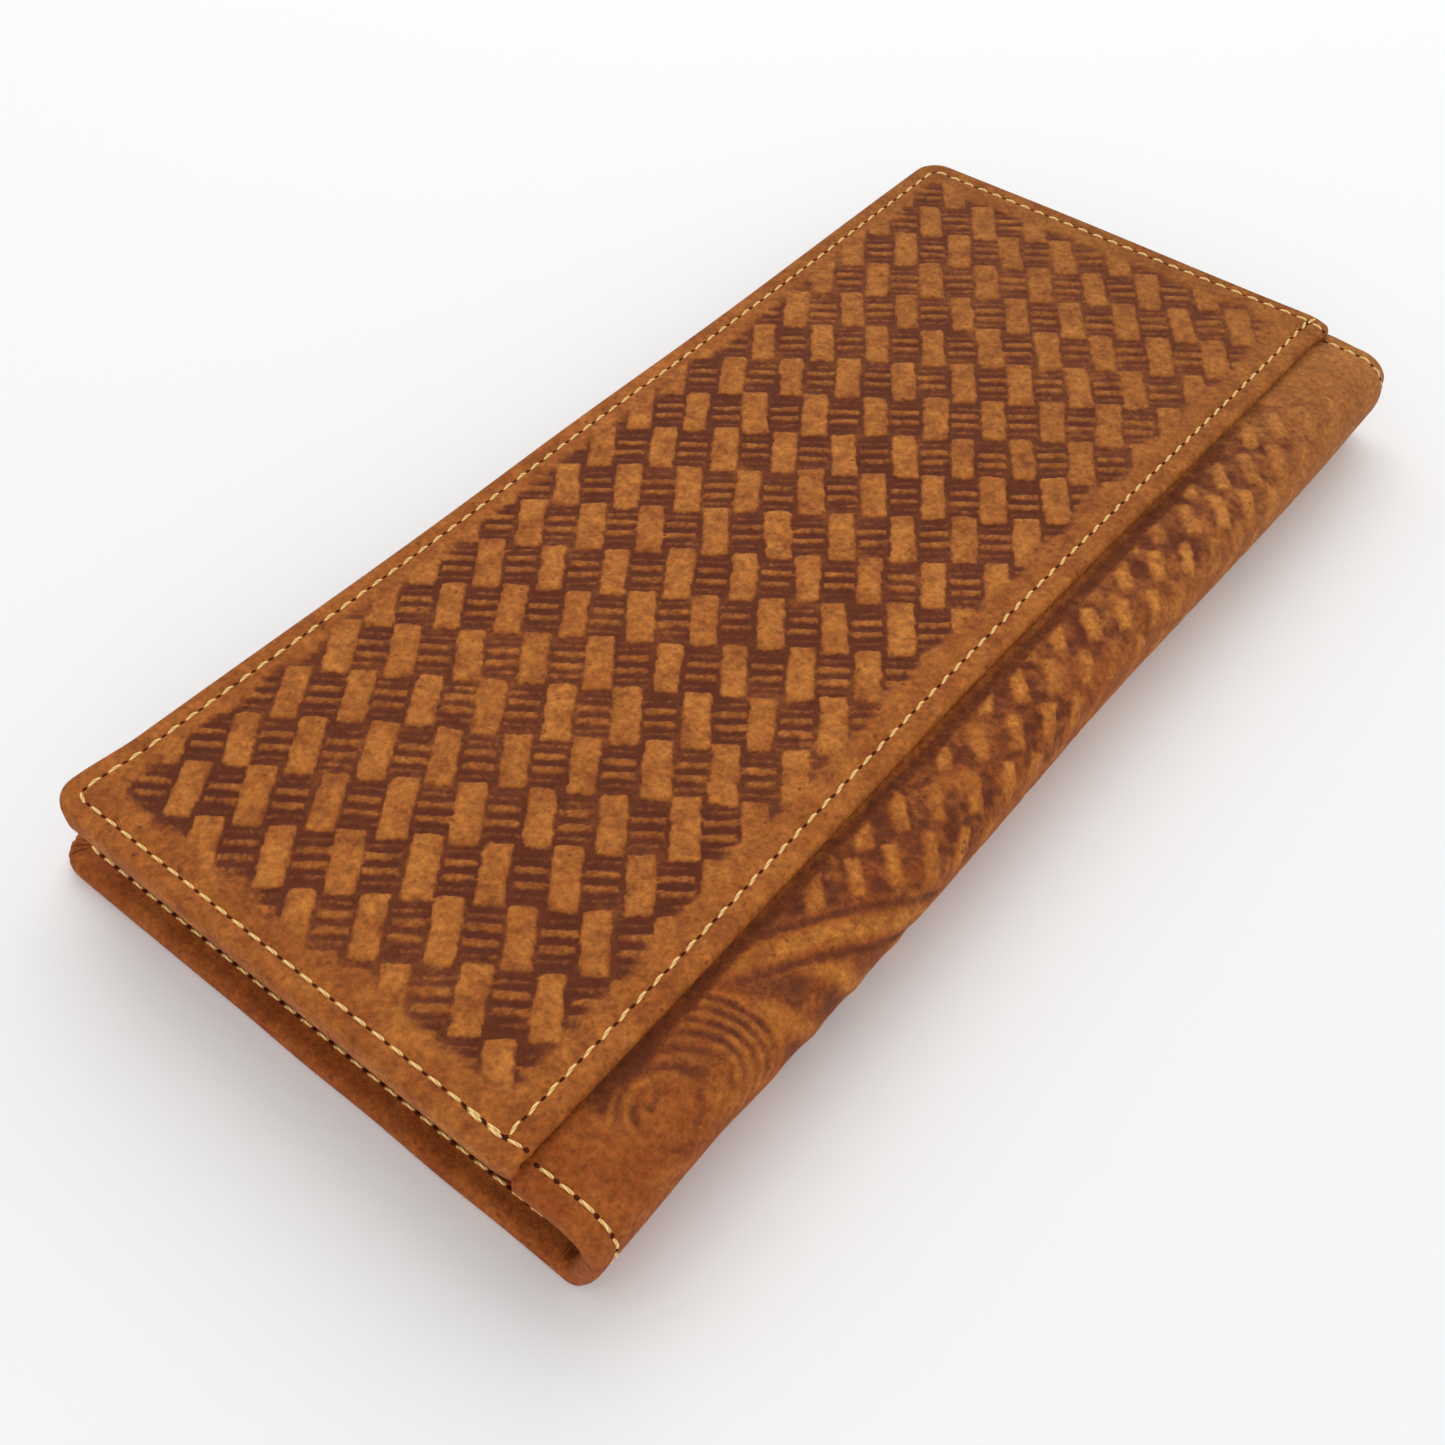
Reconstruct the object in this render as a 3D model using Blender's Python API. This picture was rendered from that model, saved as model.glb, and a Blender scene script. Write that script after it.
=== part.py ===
"""Long western bifold wallet, lying closed: tooled leather covers, a sprung fold and the pockets inside.

Metres, +Z up. The wallet lies on its back half with the folded spine at +X and its length along Y. It
opens like a book: the front half and the spine swing up and over towards +X.
"""

import math

import bmesh
import bpy
from mathutils import Vector

MM = 0.001

# Overall sizes of the closed wallet
LENGTH = 184.0 * MM
FRONT_WIDTH = 86.2 * MM
BACK_OVERHANG = 5.4 * MM
THICKNESS = 17.4 * MM
CORNER_RADIUS = 4.8 * MM
BACK_FOLD_RADIUS = 8.6 * MM
FRONT_FOLD_RADIUS = 4.8 * MM

# Leather and cloth
COVER_LEATHER = 1.2 * MM
PANEL_LEATHER = 1.2 * MM
TURNED_LEATHER = 0.7 * MM
INNER_LEATHER = 0.8 * MM
STRIP_LEATHER = 0.7 * MM
LINING = 0.4 * MM

# Room between layers
LAYER_GAP = 0.3 * MM
SLIP_POCKET_ROOM = 0.4 * MM
FOLD_GAP = 0.9 * MM

# Turned border and its seam
BORDER_REACH = 5.0 * MM
SEAM_INSET = 3.0 * MM
THREAD_RADIUS = 0.22 * MM
THREAD_SINK = 0.25 * MM
GROOVE_WIDTH = 0.9 * MM
GROOVE_DEPTH = 0.7 * MM

# Slip pocket on the front
HEM_FROM_SPINE = 10.3 * MM
HEM_STITCH = 3.3 * MM

# Card pockets in the back half
CARD_DEPTH = 50.0 * MM
CARD_STEP = 11.0 * MM
CARD_POCKETS = 3
FIRST_MOUTH_FROM_FOLD = 9.5 * MM
BILL_MOUTH_FROM_FOLD = 4.5 * MM
POCKET_SEAM = 1.5 * MM

# Card pockets and window in the front half
FRONT_CARD_POCKETS = 2
FRONT_CARD_STEP = 10.0 * MM
FRONT_MOUTH_FROM_FOLD = 24.5 * MM
WINDOW_FRAME_BORDER = 8.0 * MM
WINDOW_RADIUS = 3.0 * MM
FILM = 0.2 * MM
FILM_OVERLAP = 4.0 * MM
COLUMN_GAP = 1.0 * MM

# Zip pocket in the front half
ZIP_FROM_FOLD = 16.5 * MM
ZIP_EDGE_FROM_FOLD = 4.5 * MM
ZIP_END_SPACE = 22.0 * MM
ZIP_RIM = 3.0 * MM
ZIP_SLOT_WIDTH = 9.0 * MM
TOOTH_PITCH = 2.8 * MM
TOOTH_HEIGHT = 1.2 * MM
TOOTH_ROW_WIDTH = 2.0 * MM
TOOTH_BEAD = 0.9 * MM
TOOTH_LENGTH = 1.5 * MM
ROW_SPACE = 1.4 * MM
TAPE = 0.4 * MM
TAPE_WIDTH = 5.7 * MM
STOP_LENGTH = 1.8 * MM

# Zip slider and pull
SLIDER_LENGTH = 9.0 * MM
SLIDER_WIDTH = 8.0 * MM
SLIDER_PLATE = 0.5 * MM
SLIDER_LIP = 0.8 * MM
SLIDER_POST = 0.8 * MM
BAIL_LENGTH = 5.0 * MM
BAIL_WIDTH = 1.0 * MM
BAIL_WIRE = 0.9 * MM
PULL_THICKNESS = 0.7 * MM
PULL_LENGTH = 19.0 * MM
PULL_WIDTH = 7.0 * MM
PULL_CORNER = 2.1 * MM
PULL_EYE_WIDTH = 3.0 * MM

# Faces on a rounded edge and on a corner seen from above
EDGE_STEPS = 4
CORNER_STEPS = 5
FOLD_STEPS = 8

# Places that follow from the sizes above
HALF_LENGTH = LENGTH / 2
SPINE_X = (FRONT_WIDTH + BACK_OVERHANG) / 2
BACK_FREE_X = -SPINE_X
FRONT_FREE_X = SPINE_X - FRONT_WIDTH
BACK_FOLD_X = SPINE_X - BACK_FOLD_RADIUS
FRONT_FOLD_X = SPINE_X - FRONT_FOLD_RADIUS
BACK_END_X = BACK_FOLD_X - FOLD_GAP
FRONT_END_X = FRONT_FOLD_X - FOLD_GAP
HEM_X = SPINE_X - HEM_FROM_SPINE
EDGE_STACK = COVER_LEATHER + LAYER_GAP + LINING + LAYER_GAP + TURNED_LEATHER
PANEL_RISE = PANEL_LEATHER + SLIP_POCKET_ROOM
FOLD_HEIGHT = THICKNESS - PANEL_RISE
BACK_LINING_Z = COVER_LEATHER + LAYER_GAP
BACK_PANEL_Z = BACK_LINING_Z + LINING + LAYER_GAP
FRONT_LINING_Z = FOLD_HEIGHT - COVER_LEATHER - LAYER_GAP - LINING
FRONT_BORDER_Z = FRONT_LINING_Z - LAYER_GAP - TURNED_LEATHER
LINING_INSET = COVER_LEATHER + LAYER_GAP
INNER_INSET = BORDER_REACH + LAYER_GAP

# Zip heights, counted down from the lining of the front half
SLIDER_TOP_Z = FRONT_LINING_Z - LAYER_GAP
TOOTH_TOP_Z = SLIDER_TOP_Z - SLIDER_PLATE - LAYER_GAP
TOOTH_BOTTOM_Z = TOOTH_TOP_Z - TOOTH_HEIGHT
SLIDER_BOTTOM_Z = TOOTH_BOTTOM_Z - LAYER_GAP - SLIDER_PLATE
CHAIN_MIDDLE_Z = (TOOTH_TOP_Z + TOOTH_BOTTOM_Z) / 2
ZIP_PANEL_TOP_Z = CHAIN_MIDDLE_Z - TAPE / 2 - LAYER_GAP
ZIP_PANEL_Z = ZIP_PANEL_TOP_Z - INNER_LEATHER
ZIP_X = FRONT_END_X - ZIP_FROM_FOLD
TOOTH_COUNT = round((LENGTH - 2 * ZIP_END_SPACE) / TOOTH_PITCH)
ZIP_CHAIN_LENGTH = TOOTH_COUNT * TOOTH_PITCH
PANEL_SEAM_Z = ZIP_PANEL_Z - LAYER_GAP / 2 - THREAD_RADIUS
PULL_Z = PANEL_SEAM_Z - THREAD_RADIUS - LAYER_GAP - PULL_THICKNESS
BAIL_BAR_Z = PULL_Z - LAYER_GAP

# The fold pivots lie where each bend keeps the leather's length, so the open wallet lies flat
BACK_NEUTRAL = BACK_FOLD_RADIUS - COVER_LEATHER / 2
FRONT_NEUTRAL = FRONT_FOLD_RADIUS - COVER_LEATHER / 2
BACK_ARC = BACK_NEUTRAL * math.pi / 2
FRONT_ARC = FRONT_NEUTRAL * math.pi / 2
FRONT_RUN = math.sqrt(FRONT_ARC ** 2 - PANEL_RISE ** 2)
BACK_PIVOT = (
    BACK_FOLD_X + BACK_ARC / 2,
    COVER_LEATHER / 2 + BACK_NEUTRAL - BACK_ARC / 2,
)
FRONT_PIVOT = (
    SPINE_X - COVER_LEATHER / 2 + (FRONT_RUN - 2 * FRONT_NEUTRAL - PANEL_RISE) / 2,
    FOLD_HEIGHT - FRONT_FOLD_RADIUS + (FRONT_RUN + PANEL_RISE) / 2,
)


# Scene, materials and small helpers

def clear_scene():
    """Start from an empty file, whatever was open."""
    for obj in list(bpy.data.objects):
        bpy.data.objects.remove(obj, do_unlink=True)


def principled(name, colour, roughness, metallic=0.0, alpha=1.0):
    """A plain surface in one colour."""
    material = bpy.data.materials.new(name)
    material.use_nodes = True
    shader = material.node_tree.nodes["Principled BSDF"]
    shader.inputs["Base Color"].default_value = (*colour, 1.0)
    shader.inputs["Roughness"].default_value = roughness
    shader.inputs["Metallic"].default_value = metallic
    shader.inputs["Alpha"].default_value = alpha
    return material


def from_bmesh(name, shape, material):
    """Turn a bmesh into one named piece."""
    mesh = bpy.data.meshes.new(name)
    shape.to_mesh(mesh)
    shape.free()
    return finished(name, mesh, material)


def finished(name, mesh, material):
    """Put a mesh in the scene as one named piece."""
    mesh.materials.append(material)
    piece = bpy.data.objects.new(name, mesh)
    bpy.context.scene.collection.objects.link(piece)
    return piece


def smooth(piece):
    """Shade round stretches smooth and keep the cut edges sharp."""
    piece.data.shade_smooth()
    piece.data.set_sharp_from_angle(angle=math.radians(35))


def combine(piece, other, operation):
    """Boolean of two shapes; the second is only a helper and isn't part of the wallet."""
    other.hide_render = True
    other.display_type = "WIRE"
    change = piece.modifiers.new(other.name, "BOOLEAN")
    change.operation = operation
    change.solver = "EXACT"
    change.object = other


def cut(piece, cutter):
    """Take the cutter's shape out of the piece."""
    combine(piece, cutter, "DIFFERENCE")


def join(piece, addition):
    """Make the added shape one solid with the piece."""
    combine(piece, addition, "UNION")


def swept(name, rings, material):
    """Skin equal rings of points; the first and last rings are faces."""
    shape = bmesh.new()
    loops = [[shape.verts.new(point) for point in ring] for ring in rings]
    count = len(loops[0])
    for low, high in zip(loops, loops[1:]):
        for i in range(count):
            j = (i + 1) % count
            shape.faces.new((low[i], low[j], high[j], high[i]))
    shape.faces.new(loops[0])
    shape.faces.new(loops[-1])
    bmesh.ops.recalc_face_normals(shape, faces=shape.faces)
    return from_bmesh(name, shape, material)


def prism(name, outline, z_low, z_high, material):
    """A flat outline pulled up into a plate."""
    rings = [[(x, y, z) for x, y in outline] for z in (z_low, z_high)]
    return swept(name, rings, material)


def rectangle(x_low, x_high, y_low, y_high):
    """Corners of a rectangle, anticlockwise."""
    return [(x_low, y_low), (x_high, y_low), (x_high, y_high), (x_low, y_high)]


def plate(name, x_span, y_span, z_span, material):
    """A flat rectangular sheet."""
    return prism(name, rectangle(*x_span, *y_span), *z_span, material)


def rounded_rectangle(x_low, x_high, y_low, y_high, radius):
    """A rectangle with round corners, anticlockwise."""
    points = []
    corners = (
        (x_high - radius, y_low + radius, -90),
        (x_high - radius, y_high - radius, 0),
        (x_low + radius, y_high - radius, 90),
        (x_low + radius, y_low + radius, 180),
    )
    for cx, cy, start in corners:
        for step in range(CORNER_STEPS + 1):
            turn = math.radians(start + 90 * step / CORNER_STEPS)
            points.append((cx + radius * math.cos(turn), cy + radius * math.sin(turn)))
    return points


def block(name, breaks, filled, material):
    """One solid of grid cells: breaks has the x, y and z planes, filled(i, j, k) says what is solid."""
    shape = bmesh.new()
    corners = {}

    def corner(i, j, k):
        if (i, j, k) not in corners:
            corners[i, j, k] = shape.verts.new((breaks[0][i], breaks[1][j], breaks[2][k]))
        return corners[i, j, k]

    def solid(cell):
        inside = all(0 <= cell[a] < len(breaks[a]) - 1 for a in range(3))
        return inside and filled(*cell)

    sides = (
        ((-1, 0, 0), ((0, 0, 0), (0, 0, 1), (0, 1, 1), (0, 1, 0))),
        ((1, 0, 0), ((1, 0, 0), (1, 1, 0), (1, 1, 1), (1, 0, 1))),
        ((0, -1, 0), ((0, 0, 0), (1, 0, 0), (1, 0, 1), (0, 0, 1))),
        ((0, 1, 0), ((0, 1, 0), (0, 1, 1), (1, 1, 1), (1, 1, 0))),
        ((0, 0, -1), ((0, 0, 0), (0, 1, 0), (1, 1, 0), (1, 0, 0))),
        ((0, 0, 1), ((0, 0, 1), (1, 0, 1), (1, 1, 1), (0, 1, 1))),
    )
    for i in range(len(breaks[0]) - 1):
        for j in range(len(breaks[1]) - 1):
            for k in range(len(breaks[2]) - 1):
                if not filled(i, j, k):
                    continue
                for (di, dj, dk), quad in sides:
                    if not solid((i + di, j + dj, k + dk)):
                        shape.faces.new([corner(i + a, j + b, k + c) for a, b, c in quad])
    return from_bmesh(name, shape, material)


def thread(name, points, material, closed=False):
    """A seam's thread as one thin tube along its route."""
    curve = bpy.data.curves.new(name, "CURVE")
    curve.dimensions = "3D"
    curve.bevel_depth = THREAD_RADIUS
    curve.bevel_resolution = 1
    curve.use_fill_caps = True
    spline = curve.splines.new("POLY")
    spline.points.add(len(points) - 1)
    for spot, point in zip(spline.points, points):
        spot.co = (*point, 1.0)
    spline.use_cyclic_u = closed
    return finished(name, curve, material)


# Leather halves with turned borders

def u_outline(free_x, fold_x, inset):
    """A half's edge seen from above: in from the fold, round the free edge and back, moved in by inset."""
    radius = max(CORNER_RADIUS - inset, 0.4 * MM)
    edge = free_x + inset
    end = HALF_LENGTH - inset
    points = [(fold_x, -end)]
    for corner_y, start in ((-end + radius, 270), (end - radius, 180)):
        for step in range(CORNER_STEPS + 1):
            turn = math.radians(start - 90 * step / CORNER_STEPS)
            points.append((edge + radius + radius * math.cos(turn), corner_y + radius * math.sin(turn)))
    points.append((fold_x, end))
    return points


def edge_profile(height, round_to):
    """The border's round outside, as inset and depth pairs from the outer face to the inner one."""
    radius = round_to / 2
    outer = []
    for step in range(EDGE_STEPS + 1):
        turn = math.radians(90 * step / EDGE_STEPS)
        outer.append((radius - radius * math.sin(turn), radius - radius * math.cos(turn)))
    inner = [(inset, height - depth) for inset, depth in reversed(outer)]
    return outer + (inner if height > round_to else inner[1:])


def border_profile(depth):
    """Section of a turned border: seam groove, round edge, and the leather turned back inside."""
    groove = GROOVE_WIDTH / 2
    rounding = min(EDGE_STACK, 2 * (SEAM_INSET - GROOVE_WIDTH))
    seam = [
        (SEAM_INSET + groove, 0.0),
        (SEAM_INSET + groove, GROOVE_DEPTH),
        (SEAM_INSET - groove, GROOVE_DEPTH),
        (SEAM_INSET - groove, 0.0),
    ]
    turned = [
        (BORDER_REACH, depth),
        (BORDER_REACH, depth - TURNED_LEATHER),
        (COVER_LEATHER, depth - TURNED_LEATHER),
        (COVER_LEATHER, COVER_LEATHER),
    ]
    return seam + edge_profile(depth, rounding) + turned


def tray(name, free_x, fold_x, outer_z, into, depth, material):
    """A leather half seen as a tray: flat outer sheet, round border on three sides, edge turned back inside.

    outer_z is the outer face's height and into is +1 or -1, the way to the inside of the wallet. The
    outer face has the seam's groove all round.
    """
    shape = bmesh.new()
    rows = []
    for inset, height in border_profile(depth):
        ring = u_outline(free_x, fold_x, inset)
        rows.append([shape.verts.new((x, y, outer_z + into * height)) for x, y in ring])
    for low, high in zip(rows, rows[1:]):
        for i in range(len(low) - 1):
            shape.faces.new((low[i], low[i + 1], high[i + 1], high[i]))
    shape.faces.new(rows[0])
    shape.faces.new(rows[-1])
    near = [row[0] for row in rows]
    far = [row[-1] for row in reversed(rows)]
    shape.faces.new(near + far)
    bmesh.ops.recalc_face_normals(shape, faces=shape.faces)
    piece = from_bmesh(name, shape, material)
    smooth(piece)
    return piece


def border_section():
    """Section through the leather where both ends are turned in: y and depth below the outer face."""
    profile = border_profile(EDGE_STACK)
    near = [(inset - HALF_LENGTH, depth) for inset, depth in profile]
    far = [(HALF_LENGTH - inset, depth) for inset, depth in reversed(profile)]
    return near + far


def caught_lining(name, free_x, inset, wide_x, end_x, z_low, material):
    """Lining of a half: inside the pocket panel's rim, and out under the turned ends beyond wide_x."""
    inner = HALF_LENGTH - inset
    outer = HALF_LENGTH - LINING_INSET
    outline = [
        (free_x + inset, -inner),
        (wide_x, -inner),
        (wide_x, -outer),
        (end_x, -outer),
        (end_x, outer),
        (wide_x, outer),
        (wide_x, inner),
        (free_x + inset, inner),
    ]
    return prism(name, outline, z_low, z_low + LINING, material)


def fold_path(depth):
    """Points of x and z round the spine at a depth below its outer face, from the back to the front."""
    corners = (
        (BACK_FOLD_X, BACK_FOLD_RADIUS, BACK_FOLD_RADIUS, -90),
        (FRONT_FOLD_X, FOLD_HEIGHT - FRONT_FOLD_RADIUS, FRONT_FOLD_RADIUS, 0),
    )
    points = []
    for centre_x, centre_z, outer_radius, start in corners:
        radius = outer_radius - depth
        for step in range(FOLD_STEPS + 1):
            turn = math.radians(start + 90 * step / FOLD_STEPS)
            points.append((centre_x + radius * math.cos(turn), centre_z + radius * math.sin(turn)))
    return points


def folded(name, section, material):
    """Sweep a section of y and depth pairs round the fold."""
    paths = {depth: fold_path(depth) for _, depth in section}
    steps = 2 * (FOLD_STEPS + 1)
    rings = []
    for i in range(steps):
        rings.append([(paths[depth][i][0], y, paths[depth][i][1]) for y, depth in section])
    piece = swept(name, rings, material)
    smooth(piece)
    return piece


# Back half

def seam_line(y, mouths, faces, end_x, lift):
    """Stitch line over stepped card pockets: from the first mouth to end_x, up a step at each mouth."""
    clear = THREAD_RADIUS + LAYER_GAP
    points = [(mouths[0] - clear, y, faces[0] + lift * clear)]
    for mouth, low, high in zip(mouths[1:], faces, faces[1:]):
        points.append((mouth + clear, y, low + lift * clear))
        points.append((mouth + clear, y, high + lift * clear))
    points.append((end_x, y, faces[-1] + lift * clear))
    return points


def seam_round(y_low, y_high, mouths, faces, end_x, lift):
    """Stitch line down one side of the card pockets, along their bottom and up the other side."""
    down = seam_line(y_low, mouths, faces, end_x, lift)
    up = seam_line(y_high, mouths, faces, end_x, lift)
    return down + up[::-1]


def make_bill_pocket(leather):
    """Inner leather of the back half: its thinned edge is caught under the turned border on three sides."""
    free = BACK_FREE_X + LINING_INSET
    edge = BACK_FREE_X + INNER_INSET
    wall = edge + INNER_LEATHER
    mouth = BACK_END_X - BILL_MOUTH_FROM_FOLD
    ends = [HALF_LENGTH - inset for inset in (LINING_INSET, INNER_INSET, INNER_INSET + INNER_LEATHER)]
    breaks = (
        (free, edge, wall, mouth),
        [-y for y in ends] + ends[::-1],
        (BACK_LINING_Z, BACK_LINING_Z + LINING, BACK_PANEL_Z, BACK_PANEL_Z + INNER_LEATHER),
    )

    def filled(i, j, k):
        thinned = (i == 0) + (j in (0, 4))
        if thinned:
            return thinned == 1 and k == 0
        return k == 2 or i == 1 or j in (1, 3)

    block("bill_pocket_panel", breaks, filled, leather)


def make_back_half(leather, cloth, cotton):
    """Tooled back cover, lining, bill pocket and the stepped card pockets."""
    tray("back_cover", BACK_FREE_X, BACK_END_X, 0.0, 1, EDGE_STACK, leather)
    rim = INNER_INSET + INNER_LEATHER + LAYER_GAP
    bare_x = BACK_END_X - BILL_MOUTH_FROM_FOLD + LAYER_GAP
    caught_lining("back_lining", BACK_FREE_X, rim, bare_x, BACK_END_X, BACK_LINING_Z, cloth)
    make_bill_pocket(leather)
    inner = HALF_LENGTH - INNER_INSET
    free = BACK_FREE_X + INNER_INSET
    first = BACK_PANEL_Z + INNER_LEATHER + LAYER_GAP
    mouths = [BACK_END_X - FIRST_MOUTH_FROM_FOLD - i * CARD_STEP for i in range(CARD_POCKETS)]
    faces = []
    for i, mouth in enumerate(mouths):
        low = first + i * (STRIP_LEATHER + LAYER_GAP)
        faces.append(low + STRIP_LEATHER)
        bottom = max(mouth - CARD_DEPTH, free)
        plate(f"card_pocket_{i + 1}", (bottom, mouth), (-inner, inner), (low, faces[i]), leather)
    side = inner - POCKET_SEAM
    end = bottom + POCKET_SEAM
    thread("card_pocket_thread", seam_round(-side, side, mouths, faces, end, 1), cotton)
    clear = THREAD_RADIUS + LAYER_GAP
    middle = seam_line(0.0, mouths, faces, end + 2 * clear, 1)
    thread("card_centre_thread", middle, cotton)
    seam = u_outline(BACK_FREE_X, BACK_END_X, SEAM_INSET)
    thread("back_outer_thread", [(x, y, THREAD_SINK) for x, y in seam], cotton)
    thread("back_inner_thread", [(x, y, EDGE_STACK + clear) for x, y in seam], cotton)


# Spine

def make_spine(leather, cloth, cotton):
    """The leather and lining that go round the fold, and the seam at each end."""
    folded("spine_leather", border_section(), leather)
    side = HALF_LENGTH - LINING_INSET
    outer = BACK_LINING_Z
    folded(
        "spine_lining",
        [(-side, outer), (side, outer), (side, outer + LINING), (-side, outer + LINING)],
        cloth,
    )
    route = fold_path(THREAD_SINK)
    seam = HALF_LENGTH - SEAM_INSET
    for end, y in (("near", -seam), ("far", seam)):
        thread(f"spine_{end}_thread", [(x, y, z) for x, z in route], cotton)


# Front half

def make_front_cover(leather):
    """The cover under the slip pocket: a plain sheet, with its ends turned in where it leaves the pocket."""
    bare_x = HEM_X + LAYER_GAP
    sheet = prism(
        "front_cover",
        u_outline(FRONT_FREE_X, bare_x + LAYER_GAP, LINING_INSET),
        FOLD_HEIGHT - COVER_LEATHER,
        FOLD_HEIGHT,
        leather,
    )
    ends = border_section()
    rings = [[(x, y, FOLD_HEIGHT - depth) for y, depth in ends] for x in (bare_x, FRONT_END_X)]
    join(sheet, swept("bare_strip", rings, leather))


def make_front_half(leather, cloth, cotton):
    """Slip pocket panel, cover and lining of the front half, with their seams."""
    depth = THICKNESS - FRONT_BORDER_Z
    panel = tray("slip_pocket_panel", FRONT_FREE_X, HEM_X, THICKNESS, -1, depth, leather)
    mouth = HEM_X - HEM_STITCH
    seam = HALF_LENGTH - SEAM_INSET
    stop = seam - GROOVE_WIDTH
    groove = plate(
        "mouth_groove",
        (mouth - GROOVE_WIDTH / 2, mouth + GROOVE_WIDTH / 2),
        (-stop, stop),
        (THICKNESS - GROOVE_DEPTH, THICKNESS + GROOVE_DEPTH),
        leather,
    )
    cut(panel, groove)
    make_front_cover(leather)
    rim = INNER_INSET + ZIP_RIM + LAYER_GAP
    bare_x = FRONT_END_X - ZIP_EDGE_FROM_FOLD + LAYER_GAP
    caught_lining("front_lining", FRONT_FREE_X, rim, bare_x, FRONT_END_X, FRONT_LINING_Z, cloth)
    top = THICKNESS - THREAD_SINK
    route = u_outline(FRONT_FREE_X, HEM_X, SEAM_INSET)
    thread("front_outer_thread", [(x, y, top) for x, y in route], cotton)
    inner_z = FRONT_BORDER_Z - THREAD_RADIUS - LAYER_GAP
    thread("front_inner_thread", [(x, y, inner_z) for x, y in route], cotton)
    stop -= THREAD_RADIUS
    thread("pocket_mouth_thread", [(mouth, -stop, top), (mouth, stop, top)], cotton)


def make_zip_panel(leather):
    """Leather front of the zipped compartment: a slot for the zip, and a rim round it.

    The rim's outer edge is thinned and caught under the turned border. The side at the fold is sewn down
    on the lining instead.
    """
    free = FRONT_FREE_X + LINING_INSET
    near = FRONT_FREE_X + INNER_INSET
    edge = FRONT_END_X - ZIP_EDGE_FROM_FOLD
    slot_x = ZIP_SLOT_WIDTH / 2
    slot_y = ZIP_CHAIN_LENGTH / 2 + STOP_LENGTH + 2 * LAYER_GAP
    ends = [HALF_LENGTH - inset for inset in (LINING_INSET, INNER_INSET, INNER_INSET + ZIP_RIM)]
    breaks = (
        (free, near, near + ZIP_RIM, ZIP_X - slot_x, ZIP_X + slot_x, edge - ZIP_RIM, edge),
        [-y for y in ends] + [-slot_y, slot_y] + ends[::-1],
        (
            ZIP_PANEL_Z,
            ZIP_PANEL_TOP_Z,
            FRONT_LINING_Z - LAYER_GAP,
            FRONT_LINING_Z,
            FRONT_LINING_Z + LINING,
        ),
    )

    def filled(i, j, k):
        thinned = (i == 0) + (j in (0, 6))
        if thinned:
            return thinned == 1 and k == 3
        if i == 1 or j in (1, 5):
            return True
        if i == 5:
            return k <= 1
        slot = i == 3 and j == 3
        return k == 0 and not slot

    block("zip_pocket_panel", breaks, filled, leather)


def comb(name, side, brass):
    """One row of zip teeth on its cord: side is -1 or +1."""
    inner = ROW_SPACE / 2
    outer = inner + TOOTH_ROW_WIDTH
    back = outer - TOOTH_BEAD
    end = ZIP_CHAIN_LENGTH / 2
    outline = [(outer, -end), (outer, end), (back, end)]
    for i in reversed(range(TOOTH_COUNT)):
        low = i * TOOTH_PITCH + (TOOTH_PITCH - TOOTH_LENGTH) / 2 - end
        high = low + TOOTH_LENGTH
        outline += [(back, high), (inner, high), (inner, low), (back, low)]
    outline.append((back, -end))
    points = [(ZIP_X + side * x, y) for x, y in outline]
    return prism(name, points, TOOTH_BOTTOM_Z, TOOTH_TOP_Z, brass)


def make_zip_chain(brass, cloth):
    """Two tapes, two rows of teeth and the stops at their ends."""
    middle = (CHAIN_MIDDLE_Z - TAPE / 2, CHAIN_MIDDLE_Z + TAPE / 2)
    half = ZIP_CHAIN_LENGTH / 2
    run = half + STOP_LENGTH + LAYER_GAP
    near = ROW_SPACE / 2 + TOOTH_ROW_WIDTH + LAYER_GAP
    for side, word in ((-1, "left"), (1, "right")):
        comb(f"zip_teeth_{word}", side, brass)
        ends = sorted((ZIP_X + side * near, ZIP_X + side * (near + TAPE_WIDTH)))
        plate(f"zip_tape_{word}", ends, (-run, run), middle, cloth)
    width = ROW_SPACE / 2 + TOOTH_ROW_WIDTH
    for word, y in (("near", -half - LAYER_GAP - STOP_LENGTH), ("far", half + LAYER_GAP)):
        plate(
            f"zip_stop_{word}",
            (ZIP_X - width, ZIP_X + width),
            (y, y + STOP_LENGTH),
            (TOOTH_BOTTOM_Z, TOOTH_TOP_Z),
            brass,
        )


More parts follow.
